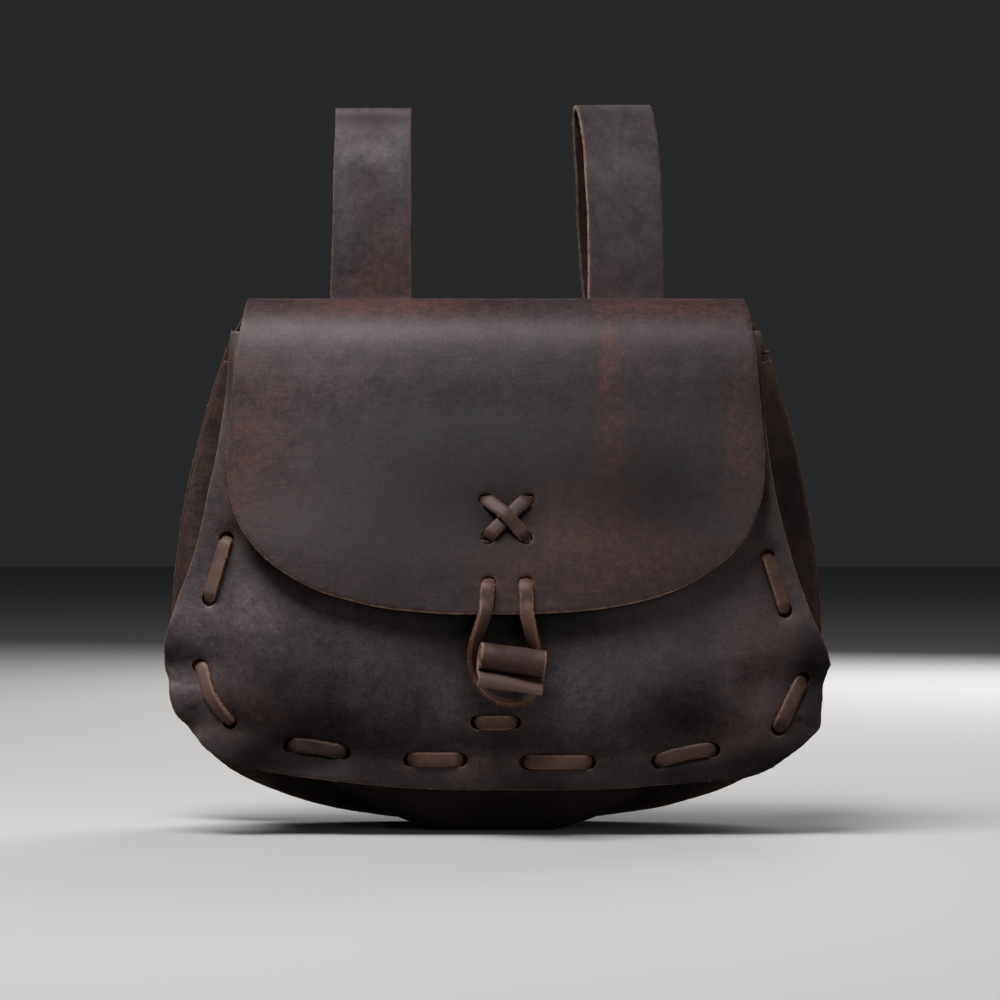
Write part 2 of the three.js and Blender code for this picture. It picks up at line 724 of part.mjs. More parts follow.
function closureLoop() {
  const hole = flapHoles();
  const up = new THREE.Vector2(0, CLOSURE.tail);
  const down = new THREE.Vector2(0, -CLOSURE.below);
  const first = [hole.topLeft.clone().add(up), hole.topLeft, hole.midRight];
  first.push(hole.lowRight, hole.lowRight.clone().add(down));
  const second = [hole.lowLeft.clone().add(down), hole.lowLeft, hole.midLeft];
  second.push(hole.topRight, hole.topRight.clone().add(up));
  const crossing = { ...LOOP_THONG, lift: CLOSURE.crossing };
  const straight = { ...LOOP_THONG, lift: CLOSURE.straight };
  const start = lacePath(flapSurface, first, crossing, overLeather, overLeather, false);
  const end = lacePath(flapSurface, second, straight, overLeather, overLeather, true);
  const sections = joinSections(joinSections(start, hangingSections()), end);
  return ribbon(sections, LOOP_THONG.width, LOOP_THONG.thickness);
}

// The toggle is rolled about its own axis, then tilted and set in place.
function toggle() {
  const lastTurn = TOGGLE_ROLL.at(-1).turn;
  const sections = Array.from({ length: TOGGLE.sections + 1 }, (_, i) => {
    const turn = lastTurn * i / TOGGLE.sections;
    const radius = smooth(TOGGLE_ROLL, 'turn', 'radius', turn);
    const angle = 2 * Math.PI * turn;
    const at = new THREE.Vector3(0, -radius * Math.cos(angle), radius * Math.sin(angle));
    return { at, wide: new THREE.Vector3(1, 0, 0) };
  });
  const roll = ribbon(sections, TOGGLE.length, TOGGLE.thickness);
  roll.rotateY(degToRad(TOGGLE.tilt));
  roll.translate(TOGGLE.x, TOGGLE.y, TOGGLE.z);
  const { width, from, to } = TOGGLE_SLOT;
  const height = LOOP_THONG.thickness + 2 * LACE.air;
  const slot = new THREE.Vector3(TOGGLE_THONG.x, TOGGLE.y, TOGGLE.z);
  const rings = [from, to].map((back) => CORNERS.map(([w, t]) => slot.clone()
    .add(new THREE.Vector3(w * width / 2, back, t * height / 2))));
  return cut(roll, [loft(rings)]);
}

function toggleSpot() {
  return new THREE.Vector2(TOGGLE_THONG.x, TOGGLE.z);
}

function centreHoles() {
  return [CENTRE_STITCH.left, CENTRE_STITCH.right].map((x) => new THREE.Vector2(x, CENTRE_STITCH.z));
}

function centrePunches() {
  return [toggleSpot(), ...centreHoles()].map((spot) => punch(frontSurface, spot, HOLE_RADIUS, PUNCH.sheet));
}

// The thong from the toggle's core straight back through the front panel, then down inside it.
function toggleThong() {
  const wide = new THREE.Vector3(1, 0, 0);
  const { x, start, top, bottom, rows, air } = TOGGLE_THONG;
  const places = [
    new THREE.Vector3(x, TOGGLE.y + start, TOGGLE.z),
    frontSurface(x, TOGGLE.z, LEATHER / 2).setZ(TOGGLE.z),
    frontSurface(x, TOGGLE.z, -LEATHER / 2).setZ(TOGGLE.z),
  ];
  for (let i = 0; i <= rows; i += 1) {
    places.push(frontSurface(x, lerp(top, bottom, i / rows), -overLeather - air));
  }
  return ribbon(places.map((at) => ({ at, wide })), LOOP_THONG.width, LOOP_THONG.thickness);
}

// The stitch below the toggle, whose two ends lie over the thong's tab inside.
function centreStitch() {
  const [left, right] = centreHoles();
  const tail = new THREE.Vector2(CENTRE_STITCH.tail, 0);
  const stops = [left.clone().add(tail), left, right, right.clone().sub(tail)];
  const sections = lacePath(frontSurface, stops, LACE, overLeather, CENTRE_STITCH.under, false);
  return ribbon(sections, LACE.width, LACE.thickness);
}

function loopHoles(loop) {
  const at = (side, z) => new THREE.Vector2(loop.x + side * LOOP_LACE.half, z);
  return [at(-1, LOOP_LACE.high), at(1, LOOP_LACE.low), at(1, LOOP_LACE.high), at(-1, LOOP_LACE.low)];
}

function punchesOf(loop) {
  return loopHoles(loop).map((spot) => punch(backSurface, spot, HOLE_RADIUS, PUNCH.strap));
}

function loopPunches() {
  return [...punchesOf(LOOPS.left), ...punchesOf(LOOPS.right)];
}

// A strap bent into a loop that rises, leans and turns as far as its row says.
function beltLoop(loop) {
  const crown = Math.max(...LOOP_PROFILE.map((row) => row.z));
  const sections = LOOP_PROFILE.map((row) => {
    const height = smoothstep(row.z, STRAP.turnFrom, crown);
    const angle = degToRad(loop.turn) * smoothstep(row.z, STRAP.turnFrom, STRAP.turnTo);
    const depth = row.y - STRAP.pivotY;
    const at = new THREE.Vector3(
      loop.x + loop.lean * height - Math.sin(angle) * depth,
      STRAP.pivotY + Math.cos(angle) * depth,
      row.z + loop.rise * height,
    );
    return { at, wide: new THREE.Vector3(Math.cos(angle), Math.sin(angle), 0) };
  });
  return cut(ribbon(sections, STRAP.width, LEATHER), punchesOf(loop));
}

// The thong that fixes a belt loop's two ends to the back panel, crossed on the outside.
function loopLace(loop) {
  const holes = loopHoles(loop);
  const first = lacePath(backSurface, holes.slice(0, 3), LACE, LOOP_LACE.over, overLeather, true);
  const tail = new THREE.Vector2(0, -LOOP_LACE.tail);
  const crossing = { ...LACE, lift: LOOP_LACE.crossing };
  const second = lacePath(
    backSurface,
    [holes[2], holes[3], holes[3].clone().add(tail)],
    crossing, LOOP_LACE.over, overLeather, true,
  );
  return ribbon(joinSections(first, second), LACE.width, LACE.thickness);
}

function piece(name, geometry, look) {
  const mesh = new THREE.Mesh(geometry, new THREE.MeshStandardMaterial(look));
  mesh.name = name;
  return mesh;
}

const bag = new THREE.Group();
bag.name = 'waist_bag';
bag.add(
  piece('back_and_flap', backAndFlap(), LOOKS.leather),
  piece('front_panel', frontPanel(), LOOKS.leather),
  piece('gusset', gusset(), LOOKS.gusset),
  piece('belt_loop_left', beltLoop(LOOPS.left), LOOKS.strap),
  piece('belt_loop_right', beltLoop(LOOPS.right), LOOKS.strap),
  piece('front_lace', frontLace(), LOOKS.thong),
  piece('back_lace', backLace(), LOOKS.thong),
  piece('closure_loop', closureLoop(), LOOKS.thong),
  piece('toggle', toggle(), LOOKS.toggle),
  piece('toggle_thong', toggleThong(), LOOKS.thong),
  piece('centre_stitch', centreStitch(), LOOKS.thong),
  piece('loop_lace_left', loopLace(LOOPS.left), LOOKS.thong),
  piece('loop_lace_right', loopLace(LOOPS.right), LOOKS.thong),
);

export default bag;
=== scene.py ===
"""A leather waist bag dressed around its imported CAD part.

In metres, with X to the right, Y to the back and Z up from the floor.
"""

from functools import partial, reduce

import bpy
import numpy as np
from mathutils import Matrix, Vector


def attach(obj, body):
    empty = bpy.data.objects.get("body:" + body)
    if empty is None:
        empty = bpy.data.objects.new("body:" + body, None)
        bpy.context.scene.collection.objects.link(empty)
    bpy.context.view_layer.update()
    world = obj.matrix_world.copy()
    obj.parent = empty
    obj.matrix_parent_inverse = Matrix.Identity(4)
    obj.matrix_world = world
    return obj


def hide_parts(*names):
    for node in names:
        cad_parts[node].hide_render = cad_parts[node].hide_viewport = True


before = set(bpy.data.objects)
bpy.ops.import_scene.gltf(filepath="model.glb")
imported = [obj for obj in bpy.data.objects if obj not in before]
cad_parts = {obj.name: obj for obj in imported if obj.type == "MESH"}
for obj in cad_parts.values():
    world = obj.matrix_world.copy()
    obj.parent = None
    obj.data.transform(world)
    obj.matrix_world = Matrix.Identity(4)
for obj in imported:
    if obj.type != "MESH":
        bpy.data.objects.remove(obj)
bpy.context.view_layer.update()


def table(columns, *rows):
    """Rows of values under the names of their columns. A row may leave out its last values."""
    return [dict(zip(columns.split(), row)) for row in rows]


# The photograph's camera, level and square to the bag.
CAMERA = dict(x=0.00144, y=-1.54, z=0.1208, lens=150.0, sensor=36.0)

# Leather and thong.
LEATHER = 0.0020
GAP = 0.0006
LACE = dict(width=0.0053, thickness=0.0018, air=0.0001)
LIFT = 0.0002
LOOP_THONG = dict(LACE, width=0.0052)
HOLE_RADIUS = 0.00285
LOOP_HOLE_RADIUS = 0.0027
FLANGE_HOLE_RADIUS = 0.0025
ROUNDING = 0.0004
RELIEF = 0.00006
FLAP_RELIEF = 0.00003
RELIEF_SIZE = 0.021
CUT_WANDER = table("depth size", (0.00012, 0.030), (0.00004, 0.004))

# How a thong goes down into a hole: distance from the hole's middle, drop, and its width's share there.
DIVE = table(
    "along drop width",
    (0.0032, 0.0000, 1.00),
    (0.0015, 0.0006, 0.96),
    (0.0000, 0.0019, 0.87),
)
SHORT_RUN = 0.010
CUP = 0.9
THONG_DOME = 0.00022
THONG_EDGE = 0.0008
RAGGED = dict(share=0.026, size=0.0025)
FIBRE = dict(length=0.0006, shortest=0.3, radius=0.00027, root=0.0002, spread=0.6)
FIBRE_SHARE = dict(leather=0.08, thong=0.45)

# Panels seen from the front. Below the widest line the edge is a superellipse.
FRONT = dict(half=0.1199, widest=0.0643, top_half=0.098, top=0.1831, bottom=0.0162, power=3.15, bow=-0.0245)
BACK = dict(half=0.1230, widest=0.062, top_half=0.1012, top=0.18, bottom=0.0, power=2.45, bow=0.021)
BACK_Y = 0.033

# How finely the pieces are divided.
CELL = dict(front=0.0012, back=0.0014, strap=0.0011, toggle=0.0006)
CORNER_STEPS = 260
SIDE_STEPS = 60
SPLINE_STEPS = 24
LACE_SPLINE_STEPS = 16
LACE_STEP = 0.0007
LACE_COLUMNS = 7
GUSSET_STEPS = 340
GUSSET_SPLINE_STEPS = 10
ROLL_STEPS = 260
EDGE_SAMPLES = 400
EVEN_STEPS = 12

# Grid points this near a cut, in cells, move onto it, and faces smaller than a sliver of a cell are left out.
SNAP = 0.45
SLIVER = 0.02

# Steps for slopes, how far an edge is felt, lengths that count as nothing, and points measured at a time.
SLOPE_STEP = 0.0006
FINE_STEP = SLOPE_STEP / 6
EDGE_REACH = 0.02
TINY = 1e-9
LEAST = 1e-12
BLOCK = 1500

# Where random draws start, and how far a material's textures are moved.
CUT_SEED = dict(front=3, flap=5, strap=21)
SEED = dict(front=11, flap=12, gusset=13, strap=14, toggle=15)
LACE_SEED = dict(front=31, back=32, closure=33, toggle=34, centre=35, loop=36)
SHIFT = dict(front=1.3, flap=4.1, gusset=6.7, toggle=2.5, thong=0.0)
WOBBLE = dict(waves=20, slowest=0.6, fastest=1.6)

# Depth of the front panel's middle layer, at its rim and at its crown, by height.
FRONT_DEPTH = table(
    "z rim crown",
    (0.016, -0.0385, -0.0385),
    (0.030, -0.0380, -0.0385),
    (0.040, -0.0370, -0.0423),
    (0.050, -0.0356, -0.0440),
    (0.068, -0.0330, -0.0440),
    (0.084, -0.0300, -0.0414),
    (0.100, -0.0266, -0.0362),
    (0.124, -0.0210, -0.0260),
    (0.150, -0.0130, -0.0160),
    (0.1831, -0.0020, -0.0025),
)
CROWN_POWER = 2.8
CROWN_SOFTNESS = 1.25
SEAM_INSET = 0.012
SEAM_LEAST = 0.001

# Dents of the front panel, and swells where the depth is below zero.
DENTS = table(
    "x z depth reach",
    (-0.065, 0.037, 0.0060, 0.012),
    (0.067, 0.037, 0.0060, 0.012),
    (-0.100, 0.062, 0.0026, 0.009),
    (0.097, 0.054, 0.0030, 0.010),
    (0.000, 0.043, 0.0026, 0.015),
    (-0.038, 0.052, -0.0024, 0.017),
    (0.040, 0.052, -0.0024, 0.017),
    (-0.092, 0.048, -0.0016, 0.010),
    (0.124, 0.052, 0.0055, 0.016),
    (0.098, 0.018, 0.0045, 0.013),
    (-0.088, 0.016, 0.0030, 0.012),
)

# How far the leather is drawn in along a stitch and at its holes.
TROUGH = dict(depth=0.0008, reach=0.0040)
PUCKER = dict(depth=0.0005, reach=0.0048)

# How the front's edge was cut away from its even curve, by distance along it as below.
EDGE_SHIFTS = table(
    "along out reach",
    (-0.205, 0.0019, 0.0450),
    (-0.167, 0.0016, 0.0130),
    (-0.152, 0.0009, 0.0090),
    (-0.1455, -0.0006, 0.0040),
    (-0.1378, -0.0013, 0.0035),
    (-0.131, -0.0013, 0.0070),
    (-0.1165, -0.0029, 0.0075),
    (-0.066, -0.0017, 0.0340),
    (0.088, 0.0013, 0.0100),
    (0.104, 0.0024, 0.0220),
    (0.107, -0.0007, 0.0050),
    (0.1212, 0.0014, 0.0035),
    (0.126, -0.0009, 0.0070),
    (0.1345, -0.0012, 0.0050),
    (0.143, 0.0010, 0.0025),
    (0.150, 0.0010, 0.0080),
    (0.205, -0.0010, 0.0450),
)

# Waves of the front margin, by distance along the edge from the middle of the bottom, left negative.
WAVE_WIDTH = 0.016
WAVES = table(
    "along swell reach",
    (-0.155, 0.0022, 0.009),
    (-0.143, -0.0021, 0.0062),
    (-0.128, 0.0016, 0.008),
    (-0.117, -0.0024, 0.005),
    (-0.095, 0.0022, 0.009),
    (-0.066, -0.0008, 0.008),
    (0.070, -0.0008, 0.008),
    (0.096, 0.0018, 0.009),
    (0.112, -0.0018, 0.007),
    (0.128, 0.0014, 0.007),
    (0.138, -0.0022, 0.006),
    (0.155, 0.0018, 0.009),
)

# Stitches on the front. Lean is how far the ends lie off the inset, roll in degrees, bow toward the edge.
FRONT_STITCHES = table(
    "start end inset lean roll bow",
    (-0.2372, -0.2148, 0.0105, 0.0, 4, 0.0),
    (-0.1929, -0.1713, 0.0104, 0.0003, -24, 0.0),
    (-0.1387, -0.1086, 0.0125, 0.0006, -24, 0.0015),
    (-0.0767, -0.0563, 0.0105, 0.0, -8, 0.0),
    (-0.0318, -0.0131, 0.0106, 0.0002, -6, 0.0),
    (0.0109, 0.0339, 0.0100, 0.0, -7, 0.0),
    (0.0592, 0.0788, 0.0098, 0.0013, -9, 0.0),
    (0.1087, 0.1361, 0.0091, -0.0011, -8, 0.0004),
    (0.1670, 0.1870, 0.0084, 0.0, -22, 0.0),
    (0.2098, 0.2322, 0.0092, 0.0, 5, 0.0),
)
BACK_STITCHES = dict(count=7, length=0.030, pitch=0.068, inset=0.0145)
LACE_END = dict(along=0.258, left_inset=0.0110, right_inset=0.0102)
LACE_STUB = table(
    "along inset under width",
    (0.2612, 0.0050, 0.0042, 0.35),
    (0.2614, 0.0010, 0.0034, 0.24),
    (0.2612, -0.0030, 0.0030, 0.20),
)
STUB_ACROSS = (0.0, -0.3, 0.95)
BACK_LACE_END = 0.246

# The gusset's cross-section: flanges by inset, then the wall by its share of the way from front to back.
FLANGE = dict(edge=0.001, seam=0.012, bend=0.017, back_bend=0.020)
GUSSET_WALL = dict(inset=0.020, back_inset=0.023, set_back=0.007, mouth=0.012)
GUSSET_BELLY = table(
    "share bulge drop",
    (0.00, 0.000, 0.00),
    (0.13, 0.003, 0.62),
    (0.30, 0.005, 1.00),
    (0.74, 0.005, 1.00),
    (0.90, 0.003, 0.70),
    (1.00, 0.000, 0.00),
)
FLOOR_REST = dict(full=0.012, none=0.095, turn_from=0.5, turn_to=0.9)

# The flap's middle layer in y and z, from its tip up, over the top and down to the flat back.
FLAP_PROFILE = [
    (-0.0500, 0.0800),
    (-0.0430, 0.1000),
    (-0.0315, 0.1240),
    (-0.0210, 0.1500),
    (-0.0150, 0.1680),
    (-0.0080, 0.1830),
    (0.0015, 0.1918),
    (0.0120, 0.1949),
    (0.0230, 0.1930),
    (0.0304, 0.1874),
    (0.0330, 0.1790),
]
FLAP = dict(half=0.0978, length=0.064, power=2.65)
FOLD_WIDTHS = table(
    "along half",
    (0.100, 0.0954),
    (0.134, 0.0920),
    (0.149, 0.0936),
)
FLAP_CROWN = table(
    "along crown",
    (0.000, 0.0080),
    (0.030, 0.0045),
    (0.064, 0.0015),
    (0.100, 0.0000),
)

# The closing thong: its crossing on the flap and its hanging loop. Turn is how far its face looks inward.
CLOSURE = dict(
    x=0.00385,
    top_along=0.0444,
    top_half=0.0078,
    mid_along=0.0288,
    mid_half=0.0068,
    low_along=0.0118,
    low_half=0.0066,
    crossing=0.0022,
    tail=0.006,
    below=0.0075,
    spread=0.0006,
)
HANGING_LOOP = table(
    "x y z turn",
    (0.0110, -0.0518, 0.0812, 8),
    (0.0119, -0.0525, 0.0765, 18),
    (0.0133, -0.0516, 0.0710, 36),
    (0.0150, -0.0498, 0.0655, 60),
    (0.0163, -0.0486, 0.0594, 75),
    (0.0157, -0.0482, 0.0537, 74),
    (0.0125, -0.0482, 0.0498, 72),
    (0.0075, -0.0482, 0.0482, 70),
    (0.0025, -0.0482, 0.0483, 70),
    (-0.0025, -0.0483, 0.0505, 72),
    (-0.0064, -0.0485, 0.0544, 75),
    (-0.0084, -0.0489, 0.0594, 75),
    (-0.0087, -0.0500, 0.0648, 68),
    (-0.0074, -0.0515, 0.0705, 48),
    (-0.0053, -0.0525, 0.0762, 30),
    (-0.0038, -0.0519, 0.0810, 18),
)

# The toggle: a strip rolled outward from its core, front to top to back, with its free end hanging below.
# The tail's points are in y and z from the core.
TOGGLE = dict(x=0.0057, y=-0.0593, z=0.0635, length=0.0235, thickness=0.0018)
TOGGLE_LIE = dict(tilt=8.0, yaw=7.0, droop=0.0014)
TOGGLE_ROLL = table(
    "turn radius",
    (0.00, 0.0019),
    (0.50, 0.0029),
    (1.00, 0.0040),
    (1.25, 0.0044),
    (1.50, 0.0053),
    (1.68, 0.0058),
)
TOGGLE_TAIL = [
    (-0.0004, -0.0058),
    (-0.0032, -0.0062),
    (-0.0049, -0.0073),
    (-0.0055, -0.0088),
    (-0.0055, -0.0104),
]
TOGGLE_SLOT = dict(turns=(0.5, 1.5), half_width=0.003, half_height=0.0015)
CENTRE_STITCH = dict(z=0.041, left=-0.0067, right=0.0065, tail=0.0052, under=0.00575, roll=4)
TOGGLE_THONG = dict(x=0.0046, start=0.0014, top=0.0586, bottom=0.036, rows=6, air=0.00055)

# Belt loops: the strap's middle line in y and z, from its front end over the crown to its rear end.
STRAP = dict(width=0.0307, pivot_y=0.0428, turn_from=0.176, turn_to=0.197, lean_power=2.6)
LOOP_PROFILE = [
    (0.0355, 0.1420),
    (0.0355, 0.1840),
    (0.0358, 0.2000),
    (0.0362, 0.2250),
    (0.0369, 0.2440),
    (0.0381, 0.2540),
    (0.0401, 0.2620),
    (0.0417, 0.2660),
    (0.0438, 0.2680),
    (0.0460, 0.2668),
    (0.0470, 0.2630),
    (0.0471, 0.2540),
    (0.0464, 0.2250),
    (0.0438, 0.2050),
    (0.0406, 0.1920),
    (0.0382, 0.1830),
    (0.0380, 0.1420),
]
LOOPS = {
    "left": dict(x=-0.0476, lean=0.0, turn=0.0, rise=0.0008, taper=0.0019, tip=0.0),
    "right": dict(x=0.0468, lean=-0.0022, turn=21.0, rise=0.002, taper=0.0, tip=0.036),
}
LOOP_LACE = dict(half=0.008, low=0.150, high=0.168, over=0.0074, crossing=0.0023, tail=0.006)

# Where the patches of wear, painted light and painted shade on the front end: along the flap's pattern, and
# past a belt loop's crown.
FOLD_BACK = (0.136, 0.142)
CROWN_FADE = 0.004
# How dark the cut edges past those lines are made.
REAR_RIM_DARKENING = 0.95

# Patches on the outside: rubbed red, dulled blue, lighter and darker. The lighter ones are worn pale, with
# painted light on some stitches, the toggle's tail, the fold's crest and the belt loops. The darker ones are
# painted shade at most places, with one dark spot in the leather.
# Behind, where a row has it, is the y that its patch starts from.
PATCH = "x z wide high much behind"
WEAR_AND_LIGHT = dict(
    rub=table(
        PATCH,
        (0.0415, 0.170, 0.0040, 0.030, 1.0),
        (0.030, 0.108, 0.024, 0.020, 0.9),
        (0.058, 0.100, 0.026, 0.012, 0.6),
        (0.088, 0.140, 0.006, 0.024, 0.7),
        (0.044, 0.138, 0.007, 0.014, 0.6),
        (0.004, 0.092, 0.014, 0.012, 0.6),
        (-0.084, 0.150, 0.012, 0.026, 0.5),
        (-0.093, 0.130, 0.005, 0.028, 0.7),
        (-0.040, 0.1925, 0.036, 0.0045, 1.0),
        (0.066, 0.1925, 0.026, 0.0045, 0.9),
        (-0.086, 0.042, 0.020, 0.010, 0.6),
        (0.086, 0.036, 0.024, 0.012, 0.8),
        (0.098, 0.066, 0.010, 0.012, 0.6),
        (0.000, 0.024, 0.070, 0.006, 0.5),
        (-0.046, 0.206, 0.012, 0.010, 0.7),
    ),
    bloom=table(
        PATCH,
        (-0.030, 0.140, 0.036, 0.024, 1.0),
        (0.006, 0.156, 0.027, 0.022, 1.0),
        (0.068, 0.140, 0.016, 0.028, 1.0),
        (-0.055, 0.064, 0.026, 0.014, 0.8),
        (0.036, 0.060, 0.022, 0.014, 0.8),
        (-0.102, 0.088, 0.014, 0.016, 0.6),
        (-0.058, 0.236, 0.007, 0.030, 0.9),
        (-0.038, 0.246, 0.006, 0.016, 0.8),
        (0.048, 0.240, 0.024, 0.034, 0.9),
    ),
    pale=table(
        PATCH,
        (-0.042, 0.1930, 0.022, 0.0035, 0.6),
        (0.052, 0.1930, 0.022, 0.0035, 0.4),
        (-0.086, 0.160, 0.014, 0.014, 0.5),
        (-0.056, 0.162, 0.026, 0.009, 0.35),
        (-0.064, 0.176, 0.034, 0.018, 0.7),
        (0.010, 0.183, 0.090, 0.008, 0.4),
        # A thin pale line along the fold's crest: partly worn, partly a painted rim highlight.
        (0.000, 0.1962, 0.120, 0.0010, 0.9),
        (-0.092, 0.080, 0.022, 0.014, 1.0),
        (0.058, 0.066, 0.016, 0.012, 0.3),
        (0.088, 0.076, 0.014, 0.012, 0.3),
        (-0.016, 0.048, 0.009, 0.012, 0.6),
        (-0.054, 0.047, 0.026, 0.008, 0.35),
        (0.040, 0.042, 0.018, 0.012, 0.6),
        (0.026, 0.054, 0.009, 0.022, 0.5),
        (-0.114, 0.130, 0.008, 0.050, 0.9),
        # Painted light on the second stitch on the left.
        (-0.106, 0.051, 0.006, 0.012, 0.8),
        (0.0225, 0.0265, 0.012, 0.004, 0.6),
        (-0.0225, 0.0265, 0.012, 0.004, 0.4),
        # Painted light on the centre stitch, which lies in the toggle's shadow.
        (0.000, 0.0410, 0.008, 0.003, 0.2),
        # Painted light on the toggle's tail.
        (0.005, 0.0552, 0.014, 0.0030, 1.0),
        # Painted highlight in a band below the belt loops' crowns.
        (-0.048, 0.252, 0.016, 0.006, 0.7),
        (0.044, 0.248, 0.018, 0.007, 0.5),
    ),
    soil=table(
        PATCH,
        # A dark spot in the flap's leather.
        (0.065, 0.1725, 0.005, 0.004, 0.3),
        # Painted shade: the flap darker in its middle and towards its tip.
        (0.058, 0.122, 0.036, 0.028, 0.65),
        (-0.004, 0.130, 0.044, 0.024, 0.45),
        (-0.034, 0.106, 0.046, 0.022, 0.32),
        # Painted shade in the dents above the third and sixth stitches, and round the third stitch.
        (-0.065, 0.0415, 0.014, 0.007, 0.6),
        (0.068, 0.0410, 0.016, 0.008, 0.7),
        (-0.066, 0.029, 0.026, 0.007, 0.9),
        # Painted shadow in the gaps between the flap's edges and the front's ears.
        (-0.0978, 0.166, 0.0018, 0.020, 0.8),
        (0.0978, 0.166, 0.0018, 0.020, 0.8),
        # Painted shadow under the flap's tip and round the toggle, only on what lies behind them.
        (0.004, 0.077, 0.034, 0.012, 1.0, -0.0472),
        # Painted shade on the gusset's belly and the lowest parts.
        (0.000, 0.006, 0.090, 0.014, 0.8),
        # Painted shade on the right margin and along the lower margins.
        (0.116, 0.052, 0.012, 0.022, 1.0),
        (0.098, 0.026, 0.024, 0.010, 1.0),
        (0.068, 0.0215, 0.020, 0.006, 0.8),
        (-0.086, 0.030, 0.022, 0.010, 0.6),
        # Painted shade on the gusset's right side.
        (0.113, 0.140, 0.007, 0.050, 0.6),
        # Darker round the crossing on the flap and beside the flap's right corner.
        (0.004, 0.1147, 0.010, 0.009, 0.4),
        (0.099, 0.093, 0.005, 0.010, 0.4),
        # Painted shade on the belt loops' crowns.
        (-0.048, 0.266, 0.030, 0.0035, 0.6),
        (0.042, 0.2675, 0.030, 0.0035, 0.5),
    ),
)

# Colours as linear red, green, blue and cover.
SHEEN_TINT = (1.0, 0.88, 0.91, 1)
LEATHER_TONE = dict(
    dark=(0.0120, 0.0090, 0.0095, 1),
    brown=(0.0215, 0.0145, 0.0155, 1),
    haze=(0.0120, 0.0148, 0.0205, 1),
    red=(0.0520, 0.0215, 0.0160, 1),
    wear_and_light=(0.0500, 0.0380, 0.0420, 1),
    pale=(0.0850, 0.0600, 0.0500, 1),
    flesh=(0.0360, 0.0145, 0.0085, 1),
    cut=(0.1300, 0.0720, 0.0450, 1),
    pale_cut=(0.3200, 0.2150, 0.1450, 1),
    speckle=0.5,
    bump=0.00005,
    specular=0.21,
)
# Painted light: the front panel is given lighter leather than the flap, for the stronger light that falls on
# the front.
FRONT_LIT_TONE = dict(
    LEATHER_TONE,
    dark=(0.0170, 0.0125, 0.0135, 1),
    brown=(0.0340, 0.0230, 0.0240, 1),
    haze=(0.0270, 0.0295, 0.0385, 1),
    wear_and_light=(0.0740, 0.0590, 0.0630, 1),
    specular=0.34,
)
GUSSET_TONE = dict(
    LEATHER_TONE,
    dark=(0.0150, 0.0100, 0.0085, 1),
    brown=(0.0380, 0.0215, 0.0165, 1),
    wear_and_light=(0.0700, 0.0500, 0.0460, 1),
    cut=(0.0500, 0.0280, 0.0180, 1),
    pale_cut=(0.1200, 0.0780, 0.0520, 1),
)
STRAP_TONE = dict(
    LEATHER_TONE,
    dark=(0.0290, 0.0225, 0.0245, 1),
    brown=(0.0560, 0.0400, 0.0420, 1),
    haze=(0.0640, 0.0650, 0.0780, 1),
    red=(0.0900, 0.0420, 0.0340, 1),
    wear_and_light=(0.1150, 0.1020, 0.1100, 1),
    flesh=(0.0110, 0.0042, 0.0028, 1),
    speckle=0.2,
    bump=0.000035,
    specular=0.3,
)
THONG_TONE = dict(
    LEATHER_TONE,
    dark=(0.0400, 0.0220, 0.0175, 1),
    brown=(0.0800, 0.0395, 0.0290, 1),
    red=(0.1000, 0.0440, 0.0290, 1),
    wear_and_light=(0.1600, 0.0960, 0.0790, 1),
    pale=(0.2500, 0.1400, 0.0900, 1),
    cut=(0.0560, 0.0220, 0.0120, 1),
    pale_cut=(0.2600, 0.1400, 0.0780, 1),
    specular=0.3,
)
TOGGLE_TONE = dict(
    THONG_TONE,
    dark=(0.0210, 0.0110, 0.0090, 1),
    brown=(0.0470, 0.0240, 0.0190, 1),
    flesh=(0.0640, 0.0370, 0.0300, 1),
    cut=(0.1500, 0.0780, 0.0460, 1),
)

# Sizes of the noise in the leather, and in the thongs.
GRAIN = dict(cloud=0.040, mottle=0.010, marble=0.0032, dust=0.0009, cells=0.0010)
SCRATCH = dict(upright=0.0012, crosswise=0.0011)
THONG_GRAIN = dict(mottle=0.007, marble=0.0022, dust=0.0007, cells=0.0008)

# How far in from a cut edge the look of the edge starts and is full.
FRAYED_EDGE = (0.0014, 0.0002)
WORN_EDGE = (0.0009, 0.0003)

# Rows round a cut edge, from the grain side to the flesh side, as shares of its rounding and of its cut look.
RIM_ROWS = table(
    "inset height cut",
    (0.3, 0.3, 0.4),
    (0.0, 1.0, 1.0),
    (0.0, -1.0, 1.0),
    (0.3, -0.3, 0.6),
)
VALUES = ("side", "rim", "edge", *WEAR_AND_LIGHT)

# The studio. A light that doesn't shine isn't seen in the leather's gloss.
FLOOR = dict(half=6.0, z=-0.0003, colour=(0.38, 0.375, 0.37, 1), roughness=0.7)
SKY = dict(colour=(0.9, 0.95, 1.0, 1), strength=0.022)
LIGHTS = table(
    "name place target size watts shines",
    ("key", (-0.34, -0.36, 1.20), (0, -0.02, 0.14), (0.8, 0.5), 26, True),
    ("fill", (0.75, -1.4, 0.45), (0, 0, 0.12), (0.7, 0.7), 3.6, True),
    ("rear", (0.5, 1.3, 0.8), (0, 0, 0.12), (0.9, 0.9), 26, False),
)


def ease(value, low, high):
    """A smooth step from 0 at low to 1 at high."""
    t = np.clip((value - low) / (high - low), 0, 1)
    return t * t * (3 - 2 * t)


